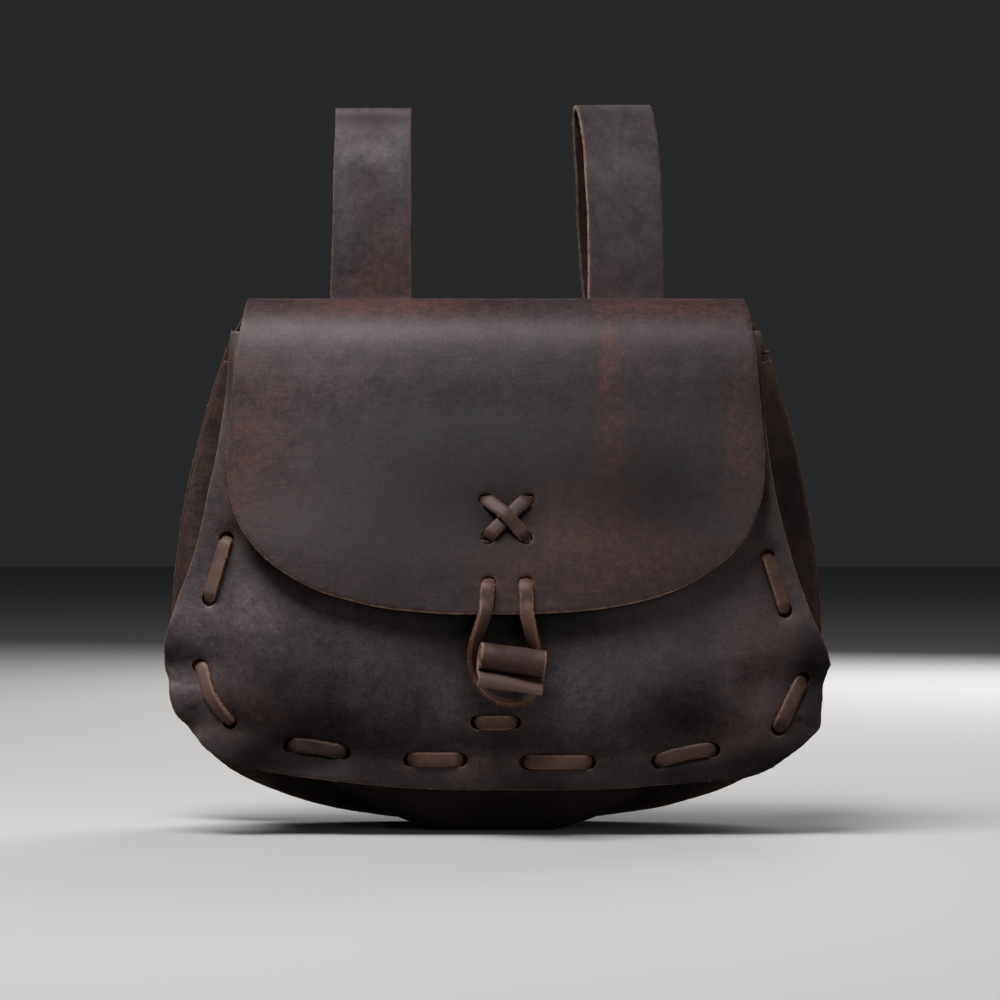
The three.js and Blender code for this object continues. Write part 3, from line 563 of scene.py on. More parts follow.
def smooth(rows, key, name, at):
    """A table column at a key, smooth through every row."""
    keys = np.array([row[key] for row in rows])
    values = np.array([row[name] for row in rows])
    last = len(keys) - 1
    place = np.clip(at, keys[0], keys[-1])
    i = np.clip(np.searchsorted(keys, place) - 1, 0, last - 1)
    low = np.maximum(np.arange(last + 1) - 1, 0)
    high = np.minimum(np.arange(last + 1) + 1, last)
    slopes = (values[high] - values[low]) / (keys[high] - keys[low])
    run = keys[i + 1] - keys[i]
    rise = values[i + 1] - values[i]
    t = (place - keys[i]) / run
    start = slopes[i] * run - rise
    end = rise - slopes[i + 1] * run
    return values[i] + t * rise + t * (1 - t) * (start * (1 - t) + end * t)


def unit(vectors):
    """Vectors made one long."""
    return vectors / np.maximum(np.linalg.norm(vectors, axis=-1, keepdims=True), LEAST)


def wobble(points, size, seed):
    """Smooth noise of about one whose swells are about as long as size."""
    random = np.random.default_rng(seed)
    total = np.zeros(points.shape[:-1])
    for _ in range(WOBBLE["waves"]):
        way = unit(random.normal(size=points.shape[-1])) * 2 * np.pi / size
        way = way * random.uniform(WOBBLE["slowest"], WOBBLE["fastest"])
        total += np.sin(points @ way + random.uniform(0, 2 * np.pi))
    return total / WOBBLE["waves"] ** 0.5


def through(points, steps=SPLINE_STEPS):
    """A smooth line through points, with the same count of steps between each two."""
    ends = np.concatenate([points[:1], points, points[-1:]])
    t = np.linspace(0, 1, steps, endpoint=False)[:, None]
    spans = []
    for i in range(1, len(points)):
        rise = ends[i + 1] - ends[i]
        start = (ends[i + 1] - ends[i - 1]) / 2
        end = (ends[i + 2] - ends[i]) / 2
        bend = t**2 * (3 * rise - 2 * start - end) + t**3 * (start + end - 2 * rise)
        spans.append(ends[i] + t * start + bend)
    return np.concatenate([*spans, points[-1:]])


class Line:
    """A polyline that is read by the distance along it."""

    def __init__(self, points):
        gaps = np.linalg.norm(np.diff(points, axis=0), axis=1)
        points = points[np.concatenate([[True], gaps > TINY])]
        gaps = gaps[gaps > TINY]
        self.points = points
        self.stops = np.concatenate([[0], np.cumsum(gaps)])
        self.length = self.stops[-1]
        self.ways = unit(np.gradient(points, self.stops, axis=0))

    def read(self, columns, along):
        """Columns of values at distances along the line."""
        return np.stack([np.interp(along, self.stops, column) for column in columns.T], axis=-1)

    def at(self, along):
        """Places at distances along the line."""
        return self.read(self.points, along)

    def way(self, along):
        """Directions at distances along the line."""
        return unit(self.read(self.ways, along))


def corner_points(half, drop, power):
    """A superellipse corner, from the middle of a panel's end to its widest line."""
    angle = np.linspace(0, np.pi / 2, CORNER_STEPS)
    across = half * np.sin(angle) ** (2 / power)
    return np.stack([across, drop * (1 - np.cos(angle) ** (2 / power))], axis=-1)


def side_half(panel, z):
    """Half the panel's width at a height above its widest line."""
    t = (z - panel["widest"]) / (panel["top"] - panel["widest"])
    return panel["half"] + (panel["top_half"] - panel["half"]) * t + panel["bow"] * t * (1 - t)


def right_edge(panel):
    """The right half of a panel's edge, from the middle of the bottom up to the top."""
    corner = corner_points(panel["half"], panel["widest"] - panel["bottom"], panel["power"])
    corner[:, 1] += panel["bottom"]
    z = np.linspace(panel["widest"], panel["top"], SIDE_STEPS)[1:]
    return np.concatenate([corner, np.stack([side_half(panel, z), z], axis=-1)])


def mirrored(right):
    """A right half-line that starts in the middle, with its mirror image before it."""
    return np.concatenate([right[:0:-1] * [-1, 1], right])


def humps(rows, name, along):
    """The sum of a table's smooth humps at distances along a line."""
    return sum(row[name] * np.exp(-(((along - row["along"]) / row["reach"]) ** 2)) for row in rows)


def hand_cut(line):
    """A line moved out and in by the rows of EDGE_SHIFTS. It is still read by its distances before that."""
    along = line.stops - line.length / 2
    out = humps(EDGE_SHIFTS, "out", along)
    line.points = line.points + np.stack([line.ways[:, 1], -line.ways[:, 0]], axis=-1) * out[:, None]
    line.ways = unit(np.gradient(line.points, line.stops, axis=0))
    return line


front_edge = hand_cut(Line(mirrored(right_edge(FRONT))))
back_edge = Line(mirrored(right_edge(BACK)))


def seam(edge, along, inset):
    """A place in from an edge, by the distance along it from the middle of the bottom."""
    place = np.clip(along + edge.length / 2, 0, edge.length)
    way = edge.way(place)
    return edge.at(place) + np.stack([-way[..., 1], way[..., 0]], axis=-1) * np.asarray(inset)[..., None]


def in_blocks(measure, points):
    """A measure of many points, taken a block at a time."""
    starts = range(0, len(points), BLOCK)
    return np.concatenate([measure(points[start : start + BLOCK]) for start in starts])


def margin_wave(spots):
    """How far the front margin waves forward at a place, from where it lies along the edge."""
    samples = np.linspace(0, front_edge.length, EDGE_SAMPLES)
    line = front_edge.at(samples)

    def wave(block):
        gaps = np.linalg.norm(block[:, None] - line, axis=-1)
        along = samples[gaps.argmin(axis=1)] - front_edge.length / 2
        return (1 - ease(gaps.min(axis=1), 0, WAVE_WIDTH)) * humps(WAVES, "swell", along)

    return in_blocks(wave, spots.reshape(-1, 2)).reshape(spots.shape[:-1])


def seam_half(z):
    """Half the width inside the lacing at a height."""
    fall = (FRONT["widest"] - z) / (FRONT["widest"] - FRONT["bottom"] - SEAM_INSET)
    inner = np.maximum(0, 1 - np.maximum(fall, 0) ** FRONT["power"]) ** (1 / FRONT["power"])
    low = (FRONT["half"] - SEAM_INSET) * inner
    return np.where(z >= FRONT["widest"], side_half(FRONT, z) - SEAM_INSET, low)


def front_holes():
    """The holes of the front lacing, two to each stitch."""
    ends = []
    for row in FRONT_STITCHES:
        ends.append((row["start"], row["inset"] - row["lean"]))
        ends.append((row["end"], row["inset"] + row["lean"]))
    along, inset = np.array(ends).T
    return seam(front_edge, along, inset)


def back_holes():
    """The holes of the back lacing, two to each stitch."""
    row = BACK_STITCHES
    middles = (np.arange(row["count"]) - (row["count"] - 1) / 2) * row["pitch"]
    along = np.stack([middles - row["length"] / 2, middles + row["length"] / 2], axis=-1).ravel()
    return seam(back_edge, along, np.full(len(along), row["inset"]))


def centre_holes():
    """The holes of the short stitch below the toggle."""
    return np.array([[CENTRE_STITCH[side], CENTRE_STITCH["z"]] for side in ("left", "right")])


def toggle_hole():
    """The hole that the toggle's thong goes through."""
    return np.array([[TOGGLE_THONG["x"], TOGGLE["z"]]])


STITCH_ENDS = np.concatenate([front_holes(), centre_holes()])
FRONT_HOLES = np.concatenate([STITCH_ENDS, toggle_hole()])
PUCKERS = [dict(PUCKER, x=x, z=z) for x, z in FRONT_HOLES]


def stitch_trough(spots):
    """How deep the leather is drawn in along the stitches."""
    deepest = np.zeros(spots.shape[:-1])
    for start, end in STITCH_ENDS.reshape(-1, 2, 2):
        step = end - start
        share = np.clip((spots - start) @ step / (step @ step), 0, 1)
        away = np.linalg.norm(spots - start - share[..., None] * step, axis=-1)
        deepest = np.maximum(deepest, TROUGH["depth"] * np.exp(-((away / TROUGH["reach"]) ** 2)))
    return deepest


def front_depth(spots):
    """The y of the front panel's middle layer at places seen from the front."""
    x, z = spots[..., 0], spots[..., 1]
    rim = smooth(FRONT_DEPTH, "z", "rim", z)
    crown = smooth(FRONT_DEPTH, "z", "crown", z)
    out = np.minimum(1, np.abs(x) / np.maximum(seam_half(z), SEAM_LEAST))
    dome = (crown - rim) * (1 - out**CROWN_POWER) ** CROWN_SOFTNESS
    depth = rim + dome - margin_wave(spots) + stitch_trough(spots)
    for dent in DENTS + PUCKERS:
        depth += dent["depth"] * np.exp(-((x - dent["x"]) ** 2 + (z - dent["z"]) ** 2) / dent["reach"] ** 2)
    return depth


def front_surface(spots, height=0.0):
    """Points off the front panel's middle layer, at heights measured outward."""
    step_x, step_z = np.array([SLOPE_STEP, 0]), np.array([0, SLOPE_STEP])
    rise_x = front_depth(spots + step_x) - front_depth(spots - step_x)
    rise_z = front_depth(spots + step_z) - front_depth(spots - step_z)
    out = unit(np.stack([rise_x, np.full_like(rise_x, -2 * SLOPE_STEP), rise_z], axis=-1))
    middle = np.stack([spots[..., 0], front_depth(spots), spots[..., 1]], axis=-1)
    return middle + out * np.asarray(height)[..., None]


def back_surface(spots, height=0.0):
    """Points off the back panel's middle layer, at heights measured to the rear."""
    y = np.broadcast_to(BACK_Y + np.asarray(height), spots.shape[:-1])
    return np.stack([spots[..., 0], y, spots[..., 1]], axis=-1)


flap_line = Line(through(np.array(FLAP_PROFILE)))
back_drop = FLAP_PROFILE[-1][1]


def flap_surface(spots, height=0.0):
    """Points off the middle layer of the back and flap, by place across and along from the flap's tip."""
    across, along = spots[..., 0], spots[..., 1]
    on_flap = np.clip(along, 0, flap_line.length)
    at = flap_line.at(on_flap)
    way = flap_line.way(on_flap)
    crown = smooth(FLAP_CROWN, "along", "crown", on_flap) / FLAP["half"] ** 2
    out = unit(np.stack([2 * crown * across, -way[..., 1], way[..., 0]], axis=-1))
    folded = np.stack([across, at[..., 0] + crown * across**2, at[..., 1]], axis=-1)
    folded = folded + out * np.asarray(height)[..., None]
    down = np.stack([across, back_drop - (along - flap_line.length)], axis=-1)
    return np.where((along < flap_line.length)[..., None], folded, back_surface(down, height))


def back_pattern(spots):
    """Places on the back panel as places on the flat pattern of the back and flap."""
    return np.stack([spots[..., 0], flap_line.length + back_drop - spots[..., 1]], axis=-1)


def outline_distance(outline, spots):
    """Signed distance from a closed outline, below zero inside."""
    ends = np.roll(outline, -1, axis=0)
    keep = np.linalg.norm(ends - outline, axis=1) > TINY
    outline, ends = outline[keep], ends[keep]
    step = ends - outline
    rise = np.where(step[:, 1] == 0, 1, step[:, 1])

    def signed(block):
        point = block[:, None]
        away = point - outline
        share = np.clip((away * step).sum(-1) / (step**2).sum(-1), 0, 1)
        near = np.linalg.norm(away - share[..., None] * step, axis=-1).min(axis=1)
        spans = (outline[:, 1] > point[..., 1]) != (ends[:, 1] > point[..., 1])
        crossing = outline[:, 0] + away[..., 1] * step[:, 0] / rise
        inside = (spans & (point[..., 0] < crossing)).sum(axis=1) % 2 == 1
        return np.where(inside, -near, near)

    return in_blocks(signed, spots)


def hole_distance(holes, radius, spots):
    """Signed distance into the nearest of round holes, above zero inside one."""
    gaps = [np.linalg.norm(spots - hole, axis=-1) for hole in holes]
    return radius - np.min(gaps, axis=0)


def steepest(distance, spots):
    """The direction in which a distance grows."""
    steps = np.eye(2) * FINE_STEP
    return unit(np.stack([distance(spots + s) - distance(spots - s) for s in steps], axis=-1))


def clipped_grid(low, high, cell, distance):
    """A flat grid cut where a distance is above zero: its places, four-sided faces and other faces."""
    count = np.ceil((np.array(high) - np.array(low)) / cell).astype(int)
    axes = [np.linspace(low[k], high[k], count[k] + 1) for k in (0, 1)]
    spots = np.stack(np.meshgrid(*axes), axis=-1).reshape(-1, 2)
    off = distance(spots)
    near = np.abs(off) < SNAP * cell
    spots[near] -= off[near, None] * steepest(distance, spots[near])
    off[near] = 0
    wide = count[0] + 1
    corner = (np.arange(count[1])[:, None] * wide + np.arange(count[0])).ravel()
    cells = np.stack([corner, corner + 1, corner + wide + 1, corner + wide], axis=-1)
    whole = (off[cells] <= 0).all(axis=1)
    some = (off[cells] < 0).any(axis=1)
    faces = []
    crossings = {}
    extra = []
    for face in cells[some & ~whole]:
        faces.append(clip_face(face, off, spots, crossings, extra))
    if extra:
        added = np.array(extra)
        added -= distance(added)[:, None] * steepest(distance, added)
        spots = np.concatenate([spots, added])
    quads = cells[some & whole]
    faces = [face for face in faces if face_area(spots[face]) > SLIVER * cell**2]
    quads = quads[face_area(spots[quads]) > SLIVER * cell**2]
    return used_only(spots, quads, faces)


def used_only(spots, quads, faces):
    """The places that faces use, and those faces by the places' new numbers."""
    used = np.unique(np.concatenate([quads.ravel(), *[np.array(face) for face in faces]]))
    place = np.full(len(spots), -1)
    place[used] = np.arange(len(used))
    return spots[used], place[quads], [place[face].tolist() for face in faces]


def face_area(corners):
    """The signed area of flat faces."""
    x, y = corners[..., 0], corners[..., 1]
    return (x * np.roll(y, -1, axis=-1) - np.roll(x, -1, axis=-1) * y).sum(axis=-1) / 2


def clip_face(face, off, spots, crossings, extra):
    """The part of a grid's face where the distance isn't above zero, with shared points at the crossings."""
    kept = []
    for a, b in zip(face, np.roll(face, -1)):
        if off[a] <= 0:
            kept.append(a)
        if off[a] * off[b] < 0:
            key = (min(a, b), max(a, b))
            if key not in crossings:
                crossings[key] = len(spots) + len(extra)
                extra.append(spots[a] + (spots[b] - spots[a]) * off[a] / (off[a] - off[b]))
            kept.append(crossings[key])
    return kept


class Build:
    """Points, faces and values of one mesh, gathered part by part."""

    def __init__(self):
        self.points = []
        self.faces = []
        self.values = {name: [] for name in VALUES}
        self.count = 0

    def add(self, points, faces, **values):
        """Adds a part. A value that isn't given is zero all over it."""
        self.points.append(points)
        self.faces += [[i + self.count for i in face] for face in faces]
        for name in VALUES:
            self.values[name].append(np.broadcast_to(values.get(name, 0.0), len(points)))
        self.count += len(points)

    def piece(self, node, material):
        """The finished piece, which stands for its CAD node."""
        mesh = bpy.data.meshes.new(node + "_look")
        mesh.from_pydata(np.concatenate(self.points), [], self.faces)
        for name, parts in self.values.items():
            attribute = mesh.attributes.new(name, "FLOAT", "POINT")
            attribute.data.foreach_set("value", np.concatenate(parts).astype(np.float32))
        mesh.polygons.foreach_set("use_smooth", np.ones(len(mesh.polygons), bool))
        mesh.materials.append(material)
        mesh.validate()
        made = bpy.data.objects.new(node + "_look", mesh)
        bpy.context.scene.collection.objects.link(made)
        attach(made, "root")
        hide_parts(node)


def sheet_normals(surface, spots):
    """The direction across a surface at flat places on its pattern."""
    steps = np.eye(2) * SLOPE_STEP
    across, along = (surface(spots + step) - surface(spots - step) for step in steps)
    return unit(np.cross(across, along))


def open_edges(count, quads, faces):
    """The directed edges that only one face has."""
    pairs = [np.stack([quads[:, k], quads[:, (k + 1) % 4]], axis=-1) for k in range(4)]
    pairs += [np.stack([face, np.roll(face, -1)], axis=-1) for face in faces]
    pairs = np.concatenate(pairs)
    key = pairs[:, 0] * count + pairs[:, 1]
    back = pairs[:, 1] * count + pairs[:, 0]
    return pairs[~np.isin(key, back)]


def outward(middle, normal, edges):
    """The direction out of a sheet at its cut edges."""
    side = np.cross(middle[edges[:, 1]] - middle[edges[:, 0]], normal[edges[:, 0]])
    out = np.zeros_like(middle)
    for k in (0, 1):
        np.add.at(out, edges[:, k], side)
    return unit(out)


def sheet_faces(count, quads, faces, edges, rim):
    """The faces of a sheet's two sides, and of the rows between them round its cut edges."""
    place = np.zeros(count, int)
    place[rim] = np.arange(len(rim))
    rings = [edges]
    rings += [2 * count + k * len(rim) + place[edges] for k in range(len(RIM_ROWS))]
    rings.append(count + edges)
    made = quads.tolist() + faces
    made += (quads[:, ::-1] + count).tolist()
    made += [[i + count for i in reversed(face)] for face in faces]
    for near, far in zip(rings, rings[1:]):
        made += np.concatenate([near[:, ::-1], far], axis=1).tolist()
    return made


def leather_sheet(build, grid, surface, seed, thickness=LEATHER, relief=RELIEF, hidden=None):
    """Adds a sheet of leather with rounded cut edges, its grain side outward, with its patches of wear,
    painted light and painted shade where it isn't hidden.
    """
    spots, quads, faces = grid
    middle = surface(spots)
    normal = sheet_normals(surface, spots)
    middle = middle + normal * (relief * wobble(middle, RELIEF_SIZE, seed))[:, None]
    count = len(middle)
    edges = open_edges(count, quads, faces)
    rim = np.unique(edges)
    out = outward(middle, normal, edges)
    half = thickness / 2
    sides = [middle + normal * half, middle - normal * half]
    for side in sides:
        side[rim] -= out[rim] * ROUNDING
    rows = []
    for row in RIM_ROWS:
        level = np.sign(row["height"]) * (half - abs(row["height"]) * ROUNDING)
        rows.append(middle[rim] - out[rim] * row["inset"] * ROUNDING + normal[rim] * level)
    points = np.concatenate([*sides, *rows])
    edge = edge_distance(middle, middle[rim])
    cut = np.concatenate([np.zeros(2 * count), *[np.full(len(rim), row["cut"]) for row in RIM_ROWS]])
    rim_grain = [np.full(len(rim), row["height"] > 0) for row in RIM_ROWS]
    grain = np.concatenate([np.ones(count), np.zeros(count), *rim_grain])
    inward = np.concatenate([edge, edge, np.zeros(len(RIM_ROWS) * len(rim))])
    patch_values = wear_and_light(points)
    if hidden:
        away = hidden(np.concatenate([spots, spots, *[spots[rim]] * len(rows)]))
        patch_values = {kind: value * (1 - away) for kind, value in patch_values.items()}
        patch_values["soil"] = np.maximum(patch_values["soil"], REAR_RIM_DARKENING * away * cut)
    all_faces = sheet_faces(count, quads, faces, edges, rim)
    build.add(points, all_faces, side=grain, rim=cut, edge=inward, **patch_values)
    outs = np.tile(out[rim], (2, 1))
    fibres(build, np.concatenate(rows[1:3]), outs, FIBRE_SHARE["leather"], seed)


def leather_piece(node, slot, material, *sheet, **how):
    """A piece that is one sheet of leather."""
    build = Build()
    leather_sheet(build, *sheet, **how)
    build.piece(node, material)


def edge_distance(points, rim):
    """How far each point is from the nearest point of the cut edge, up to a limit."""

    def nearest(block):
        low, high = block.min(axis=0) - EDGE_REACH, block.max(axis=0) + EDGE_REACH
        close = rim[((rim > low) & (rim < high)).all(axis=1)]
        gaps = np.linalg.norm(block[:, None] - close, axis=-1)
        return gaps.min(axis=1, initial=EDGE_REACH)

    return in_blocks(nearest, points)


def cut_wander(spots, seed):
    """How far a cut by hand wanders off its line."""
    return sum(row["depth"] * wobble(spots, row["size"], seed + k) for k, row in enumerate(CUT_WANDER))


def cut_grid(outline, cell, seed, *holes):
    """A flat grid inside an outline cut by hand, with round holes given as places and a radius."""

    def distance(spots):
        inside = [hole_distance(places, radius, spots) for places, radius in holes]
        edge = outline_distance(outline, spots) + cut_wander(spots, seed)
        return np.max([edge, *inside], axis=0)

    return clipped_grid(outline.min(axis=0) - cell, outline.max(axis=0) + cell, cell, distance)


def front_panel():
    """The domed front, with the lacing's holes in its margin."""
    made = leather_material("front_leather", FRONT_LIT_TONE, SHIFT["front"])
    grid = cut_grid(front_edge.points[::2], CELL["front"], CUT_SEED["front"], (FRONT_HOLES, HOLE_RADIUS))
    leather_piece("front_panel", "leather", made, grid, front_surface, SEED["front"])


def pattern_outline():
    """The flat pattern of the back and flap."""
    flap = corner_points(FLAP["half"], FLAP["length"], FLAP["power"])
    back = back_pattern(right_edge(BACK)[::-1])
    fold = [flap[-1], *[(row["half"], row["along"]) for row in FOLD_WIDTHS], back[0]]
    right = np.concatenate([flap, through(np.array(fold))[1:-1], back])[::2]
    return np.concatenate([right, right[::-1] * [-1, 1]])


def flap_holes():
    """Holes of the closing thong in the flap, by name."""
    rows = {}
    for height in ("top", "mid", "low"):
        for name, sign in (("left", -1), ("right", 1)):
            across = CLOSURE["x"] + sign * CLOSURE[height + "_half"]
            rows[height + "_" + name] = np.array([across, CLOSURE[height + "_along"]])
    return rows


def loop_holes(loop):
    """Holes of a belt loop's fixing thong on the back panel."""
    places = [(-1, "high"), (1, "low"), (1, "high"), (-1, "low")]
    return np.array([[loop["x"] + side * LOOP_LACE["half"], LOOP_LACE[level]] for side, level in places])


def back_and_flap():
    """The flat back, the fold over the top and the flap, in one sheet."""
    made = leather_material("flap_leather", LEATHER_TONE, SHIFT["flap"])
    behind = [back_holes(), *[loop_holes(loop) for loop in LOOPS.values()]]
    wide_holes = back_pattern(np.concatenate(behind))
    small_holes = np.array(list(flap_holes().values()))
    holes = (wide_holes, HOLE_RADIUS), (small_holes, LOOP_HOLE_RADIUS)
    grid = cut_grid(pattern_outline(), CELL["back"], CUT_SEED["flap"], *holes)

    def hidden(spots):
        return ease(spots[:, 1], *FOLD_BACK)

    how = dict(relief=FLAP_RELIEF, hidden=hidden)
    leather_piece("back_and_flap", "leather", made, grid, flap_surface, SEED["flap"], **how)


def evened(points):
    """A line of points with its short waves taken out."""
    span = np.arange(-EVEN_STEPS, EVEN_STEPS + 1)
    weights = np.exp(-2 * (span / EVEN_STEPS) ** 2)
    padded = np.concatenate([points[:1].repeat(EVEN_STEPS, 0), points, points[-1:].repeat(EVEN_STEPS, 0)])
    return sum(w * padded[k : k + len(points)] for k, w in enumerate(weights)) / weights.sum()


def gusset_lines(along):
    """Lines round the gusset from its front flange's edge to its back flange's edge, at shares along it."""
    under = LEATHER + GAP

    def flange(inset):
        return front_surface(seam(front_edge, along * front_edge.length, np.full(len(along), inset)), -under)

    def back_flange(inset):
        return back_surface(seam(back_edge, along * back_edge.length, np.full(len(along), inset)), -under)

    start = evened(flange(GUSSET_WALL["inset"])) + [0, GUSSET_WALL["set_back"], 0]
    end = back_flange(GUSSET_WALL["back_inset"]) - [0, GUSSET_WALL["set_back"], 0]
    front_way = front_edge.way((along + 0.5) * front_edge.length)
    way = unit(front_way + back_edge.way((along + 0.5) * back_edge.length))
    out = np.stack([way[:, 1], np.zeros(len(way)), -way[:, 0]], axis=-1)
    below = ease(way[:, 0], FLOOR_REST["turn_from"], FLOOR_REST["turn_to"])
    to_floor = below * (1 - ease(np.abs(start[:, 0]), FLOOR_REST["full"], FLOOR_REST["none"]))
    lines = [flange(FLANGE[name]) for name in ("edge", "seam", "bend")]
    for row in GUSSET_BELLY:
        line = start + (end - start) * row["share"]
        sag = row["drop"] * (line[:, 2] - LEATHER / 2)
        line = line + out * (row["bulge"] * (1 - to_floor))[:, None]
        line[:, 2] -= sag * to_floor
        lines.append(line)
    lines += [back_flange(FLANGE[name]) for name in ("back_bend", "seam", "edge")]
    return np.stack(lines)


def gusset():
    """The strip round the sides and the bottom, with its flanges turned out under the panels' margins."""
    end = 0.5 - GUSSET_WALL["mouth"]
    shares = np.linspace(-end, end, GUSSET_STEPS + 1)
    lines = gusset_lines(shares)
    rows = len(lines)
    dense = through(lines.reshape(rows, -1), GUSSET_SPLINE_STEPS).reshape(-1, len(shares), 3)
    lengths = np.linalg.norm(np.diff(dense, axis=0), axis=-1).mean(axis=1)
    stops = np.concatenate([[0], np.cumsum(lengths)])
    holes = np.concatenate([
        front_surface(front_holes(), -LEATHER - GAP),
        back_surface(back_holes(), -LEATHER - GAP),
    ])
    total = front_edge.length * 2 * end

    def surface(spots):
        row = np.interp(spots[:, 0], stops, np.arange(len(stops)))
        column = np.clip(spots[:, 1] / total, 0, 1) * GUSSET_STEPS
        r = np.clip(row.astype(int), 0, len(dense) - 2)
        c = np.clip(column.astype(int), 0, len(shares) - 2)
        u, v = (row - r)[:, None], (column - c)[:, None]
        low = dense[r, c] * (1 - v) + dense[r, c + 1] * v
        high = dense[r + 1, c] * (1 - v) + dense[r + 1, c + 1] * v
        return low * (1 - u) + high * u

    def distance(spots):
        return hole_distance(holes, FLANGE_HOLE_RADIUS, surface(spots))

    cell = total / GUSSET_STEPS
    grid = clipped_grid((0, 0), (stops[-1], total), cell, distance)
    build = Build()
    leather_sheet(build, grid, surface, SEED["gusset"])
    build.points[0][:, 2] = np.maximum(build.points[0][:, 2], 0)
    build.piece("gusset", leather_material("gusset_leather", GUSSET_TONE, SHIFT["gusset"]))


def strap_line(loop):
    """A belt loop's middle line, the direction of its width and how much narrower it is on its left."""
    profile = through(np.array(LOOP_PROFILE))
    crown = profile[:, 1].max()
    share = np.clip((profile[:, 1] - STRAP["turn_from"]) / (crown - STRAP["turn_from"]), 0, 1)
    height = share ** STRAP["lean_power"]
    angle = np.radians(loop["turn"]) * ease(profile[:, 1], STRAP["turn_from"], STRAP["turn_to"])
    depth = profile[:, 0] - STRAP["pivot_y"]
    places = np.stack([
        loop["x"] + loop["lean"] * height - np.sin(angle) * depth,
        STRAP["pivot_y"] + np.cos(angle) * depth,
        profile[:, 1] + loop["rise"] * height,
    ], axis=-1)
    wide = np.stack([np.cos(angle), np.sin(angle), loop["tip"] * height], axis=-1)
    return places, wide, share * loop["taper"]


def belt_loop(name):
    """A strap bent into a loop that rises, leans and turns as far as its row says."""
    loop = LOOPS[name]
    places, wide, taper = strap_line(loop)
    line = Line(places)
    half = STRAP["width"] / 2
    holes = loop_holes(loop)
    front = [(x - loop["x"], z - LOOP_PROFILE[0][1]) for x, z in holes]
    rear = [(x - loop["x"], line.length - (z - LOOP_PROFILE[-1][1])) for x, z in holes]
    all_holes = np.array(front + rear)

    def surface(spots):
        narrowing = np.interp(spots[:, 1], line.stops, taper)
        across = spots[:, 0] + narrowing * (half - spots[:, 0]) / (2 * half)
        return line.at(spots[:, 1]) + line.read(wide, spots[:, 1]) * across[:, None]

    def distance(spots):
        return hole_distance(all_holes, HOLE_RADIUS, spots)

    grid = clipped_grid((-half, 0), (half, line.length), CELL["strap"], distance)
    spots = grid[0]
    edge = np.abs(spots[:, 0]) > half - TINY
    ragged = cut_wander(spots, CUT_SEED["strap"])
    spots[edge, 0] += (np.sign(spots[:, 0]) * ragged)[edge]
    crown = line.stops[line.points[:, 2].argmax()]

    def hidden(spots):
        return ease(spots[:, 1] - crown, 0, CROWN_FADE)

    made = leather_material("strap_leather_" + name, STRAP_TONE, loop["x"])
    leather_piece("belt_loop_" + name, "strap", made, grid, surface, SEED["strap"], hidden=hidden)


def dive_rows(place, inward, room, height, is_over, is_hole):
    """Rows at the end of a run of thong, from the run outward: down into a hole, or just to its end."""
    rows = []
    for row in DIVE if is_hole else DIVE[:1]:
        spot = place + inward * row["along"] * room * is_hole
        drop = row["drop"] if is_over else -row["drop"]
        width = row["width"] if is_over else (1 + row["width"]) / 2
        rows.append((spot, height - drop, width))
    return rows


def lace_path(surface, stops, over, under, starts_over, rolls=None, lifts=None, bows=None):
    """A thong's path from stop to stop, by turns over and under a surface, through a hole at inner stops.

    Each row holds a place, the direction of the width, the width's share and how far the edges droop.
    """
    path = []
    last = len(stops) - 2
    for k in range(last + 1):
        start, end = stops[k], stops[k + 1]
        way = unit(end - start)
        is_over = (k % 2 == 0) == starts_over
        height = over if is_over else -under
        turn = np.radians(rolls[k // 2]) if is_over and rolls else 0
        lift = lifts[k // 2] if lifts else LIFT
        bow = bows[k // 2] if is_over and bows else 0
        middle = (start + end) / 2 + bow * np.array([way[1], -way[0]])
        room = min(1, np.linalg.norm(end - start) / SHORT_RUN)
        rows = dive_rows(start, way, room, height, is_over, k > 0)[::-1]
        rows += [(middle, height + lift * is_over, 1)]
        rows += dive_rows(end, -way, room, height, is_over, k < last)
        for spot, level, width in rows:
            ends = surface(np.stack([spot - way * SLOPE_STEP, spot + way * SLOPE_STEP]))
            low, place = surface(np.stack([spot, spot]), np.array([0, level]))
            out = unit((place - low) * np.sign(level))
            wide = unit(np.cross(out, ends[1] - ends[0])) * np.cos(turn) - out * np.sin(turn)
            flip = -1 if path and np.dot(wide, path[-1][3:6]) < 0 else 1
            path.append([*place, *(flip * wide), width, (1 - width) * is_over])
    return np.array(path)


def join_paths(*paths):
    """Thong paths one after another, with each one's width kept on the side of the one before."""
    joined = paths[0]
    for more in paths[1:]:
        flip = -1 if joined[-1, 3:6] @ more[0, 3:6] < 0 else 1
        joined = np.concatenate([joined, more * [1, 1, 1, flip, flip, flip, 1, 1]])
    return joined


def thong_frame(path):
    """Places close together along a thong's path, with its directions, its width's share and its droop."""
    rows = through(path, LACE_SPLINE_STEPS)
    line = Line(rows[:, :3])
    along = np.linspace(0, line.length, int(line.length / LACE_STEP) + 1)
    stops = np.concatenate([[0], np.cumsum(np.linalg.norm(np.diff(rows[:, :3], axis=0), axis=1))])
    columns = np.stack([np.interp(along, stops, column) for column in rows[:, 3:].T], axis=-1)
    wide, share, droop = np.split(columns, [3, 4], -1)
    way = line.way(along)
    wide = unit(wide - way * (wide * way).sum(axis=-1, keepdims=True))
    return along, line.at(along), wide, np.cross(way, wide), share, droop


